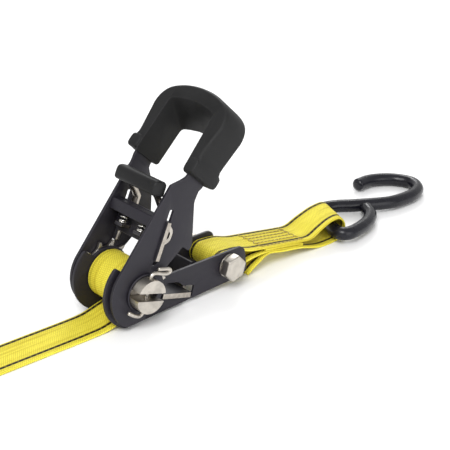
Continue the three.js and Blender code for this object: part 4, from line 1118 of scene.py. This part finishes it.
def anchor_route():
    end = BAR_A + HOOK_ROOM
    flap = [(STACK_START - 10.5, WEB_LOW + 0.6), (STACK_START - 6, WEB_LOW + 3.5), (STACK_START - 1, -14.6)]
    lowest = [in_stack(STACK_START + 6, 0), in_stack(STACK_START + 20, 0), in_stack(STACK_END - 6, 0)]
    under = [(STACK_END + 4, FLOOR_BELOW + 2.6), (STACK_END + 14, WEB_LOW), (end - 9, WEB_LOW),
             (end - 3.4, FLOOR_BELOW + 1.9), (end + 0.1, EYE_Z - 1.2), (end, EYE_TOP - 0.6),
             (end - 5, EYE_TOP + 4.4), (STACK_END + 24, EYE_TOP + 4.6),
             (STACK_END + 13, EYE_TOP + 1.4), (STACK_END + 3, STACK_END_Z + 2.4)]
    highest = [in_stack(STACK_END - 6, 3), in_stack(STACK_START + 20, 3), in_stack(STACK_START + 4, 3)]
    over = [(STACK_START - 8, STACK_START_Z + 3.6), (BOLT_X + 11, BOLT_Z + LOOP_RADIUS - 1.0)]
    around = [(BOLT_X + LOOP_RADIUS * math.cos(a), BOLT_Z + LOOP_RADIUS * math.sin(a))
              for a in (math.radians(d) for d in range(80, 281, 20))]
    back = [(BOLT_X + 12, BOLT_Z - LOOP_RADIUS + 0.9), (STACK_START - 6, STACK_START_Z - 1.6)]
    inside = [in_stack(STACK_START + 5, 1), in_stack(STACK_END - 8, 1)]
    turn = [(STACK_END - 4.6, in_stack(STACK_END - 4.6, 1.5)[1])]
    last = [in_stack(STACK_END - 8, 2), in_stack(STACK_START + 4, 2)]
    return smooth_xz(flap + lowest + under + highest + over + around + back + inside + turn + last)


anchor, anchor_length = strip("anchor_webbing", anchor_route(), leaned(*ANCHOR_LEAN), step=0.7 * MM)
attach(anchor, "anchor_strap")
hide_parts("anchor_strap")
print("anchor strap:", round(anchor_length, 3), "m")

# %% [markdown]
# ### Stitching
# The sewn stack is held by lines of lock stitches along the webbing and a zigzag across each end. Dashes in
# the webbing's colour would lie flat, so the thread is real: every stitch is a short arc that dips into the
# yarn at both ends and casts its own small shadow.

# %% Stitching
THREAD_RADIUS = 0.34 * MM
STITCH = 3.2                                   # millimetres from one stitch to the next
STITCH_ROWS = (-10.6, -5.2, -1.4, 2.4, 6.2)    # places of the lines, from the webbing's middle
STITCH_HEIGHT = 0.45
SINK = 0.35                                    # share of that height that dips into the yarn
ZIGZAG_COUNT, ZIGZAG_PITCH, ZIGZAG_LEAN, ZIGZAG_SPAN = 10, 2.2, 1.1, 1.9


def stack_top(x, y):
    """A point on the stack's upper face, in millimetres from the spindle."""
    return Vector((x, y, in_stack(x, 3)[1] + WEB_THICK / MM / 2))


def stitch(start, end):
    """Thread between two places (x, y) on top of the stack, bowed up in the middle."""
    points = []
    for share in (0.0, 0.2, 0.5, 0.8, 1.0):
        place = stack_top(*start).lerp(stack_top(*end), share)
        place.z += STITCH_HEIGHT * (math.sin(math.pi * share) - SINK)
        points.append(from_floor(*place))
    return points


def stack_stitches():
    seams = []
    for y in STITCH_ROWS:
        x = STACK_START + 3.0
        while x < STACK_END - 5.0:
            seams.append(stitch((x + 0.2, y), (x + STITCH - 0.4, y)))
            x += STITCH
    for x in (STACK_START + 2.0, STACK_END - 4.5):
        for i in range(ZIGZAG_COUNT):
            y = ZIGZAG_PITCH * (i - ZIGZAG_COUNT / 2)
            lean = ZIGZAG_LEAN if i % 2 else -ZIGZAG_LEAN
            seams.append(stitch((x - lean, y), (x + lean, y + ZIGZAG_SPAN)))
    return seams


def thread_work(name, seams, node):
    """All the stitches as one piece."""
    shape = bmesh.new()
    for i, route in enumerate(seams):
        part = tube(f"{name}_{i}", route, THREAD_RADIUS, THREAD, sides=6)
        shape.from_mesh(part.data)
        bpy.data.objects.remove(part)
    piece = in_scene(name, filled_mesh(name, shape, THREAD))
    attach(piece, node)
    return piece


sewn = thread_work("stack_stitching", stack_stitches(), "anchor_strap")
print("stitching:", len(sewn.data.polygons), "faces")
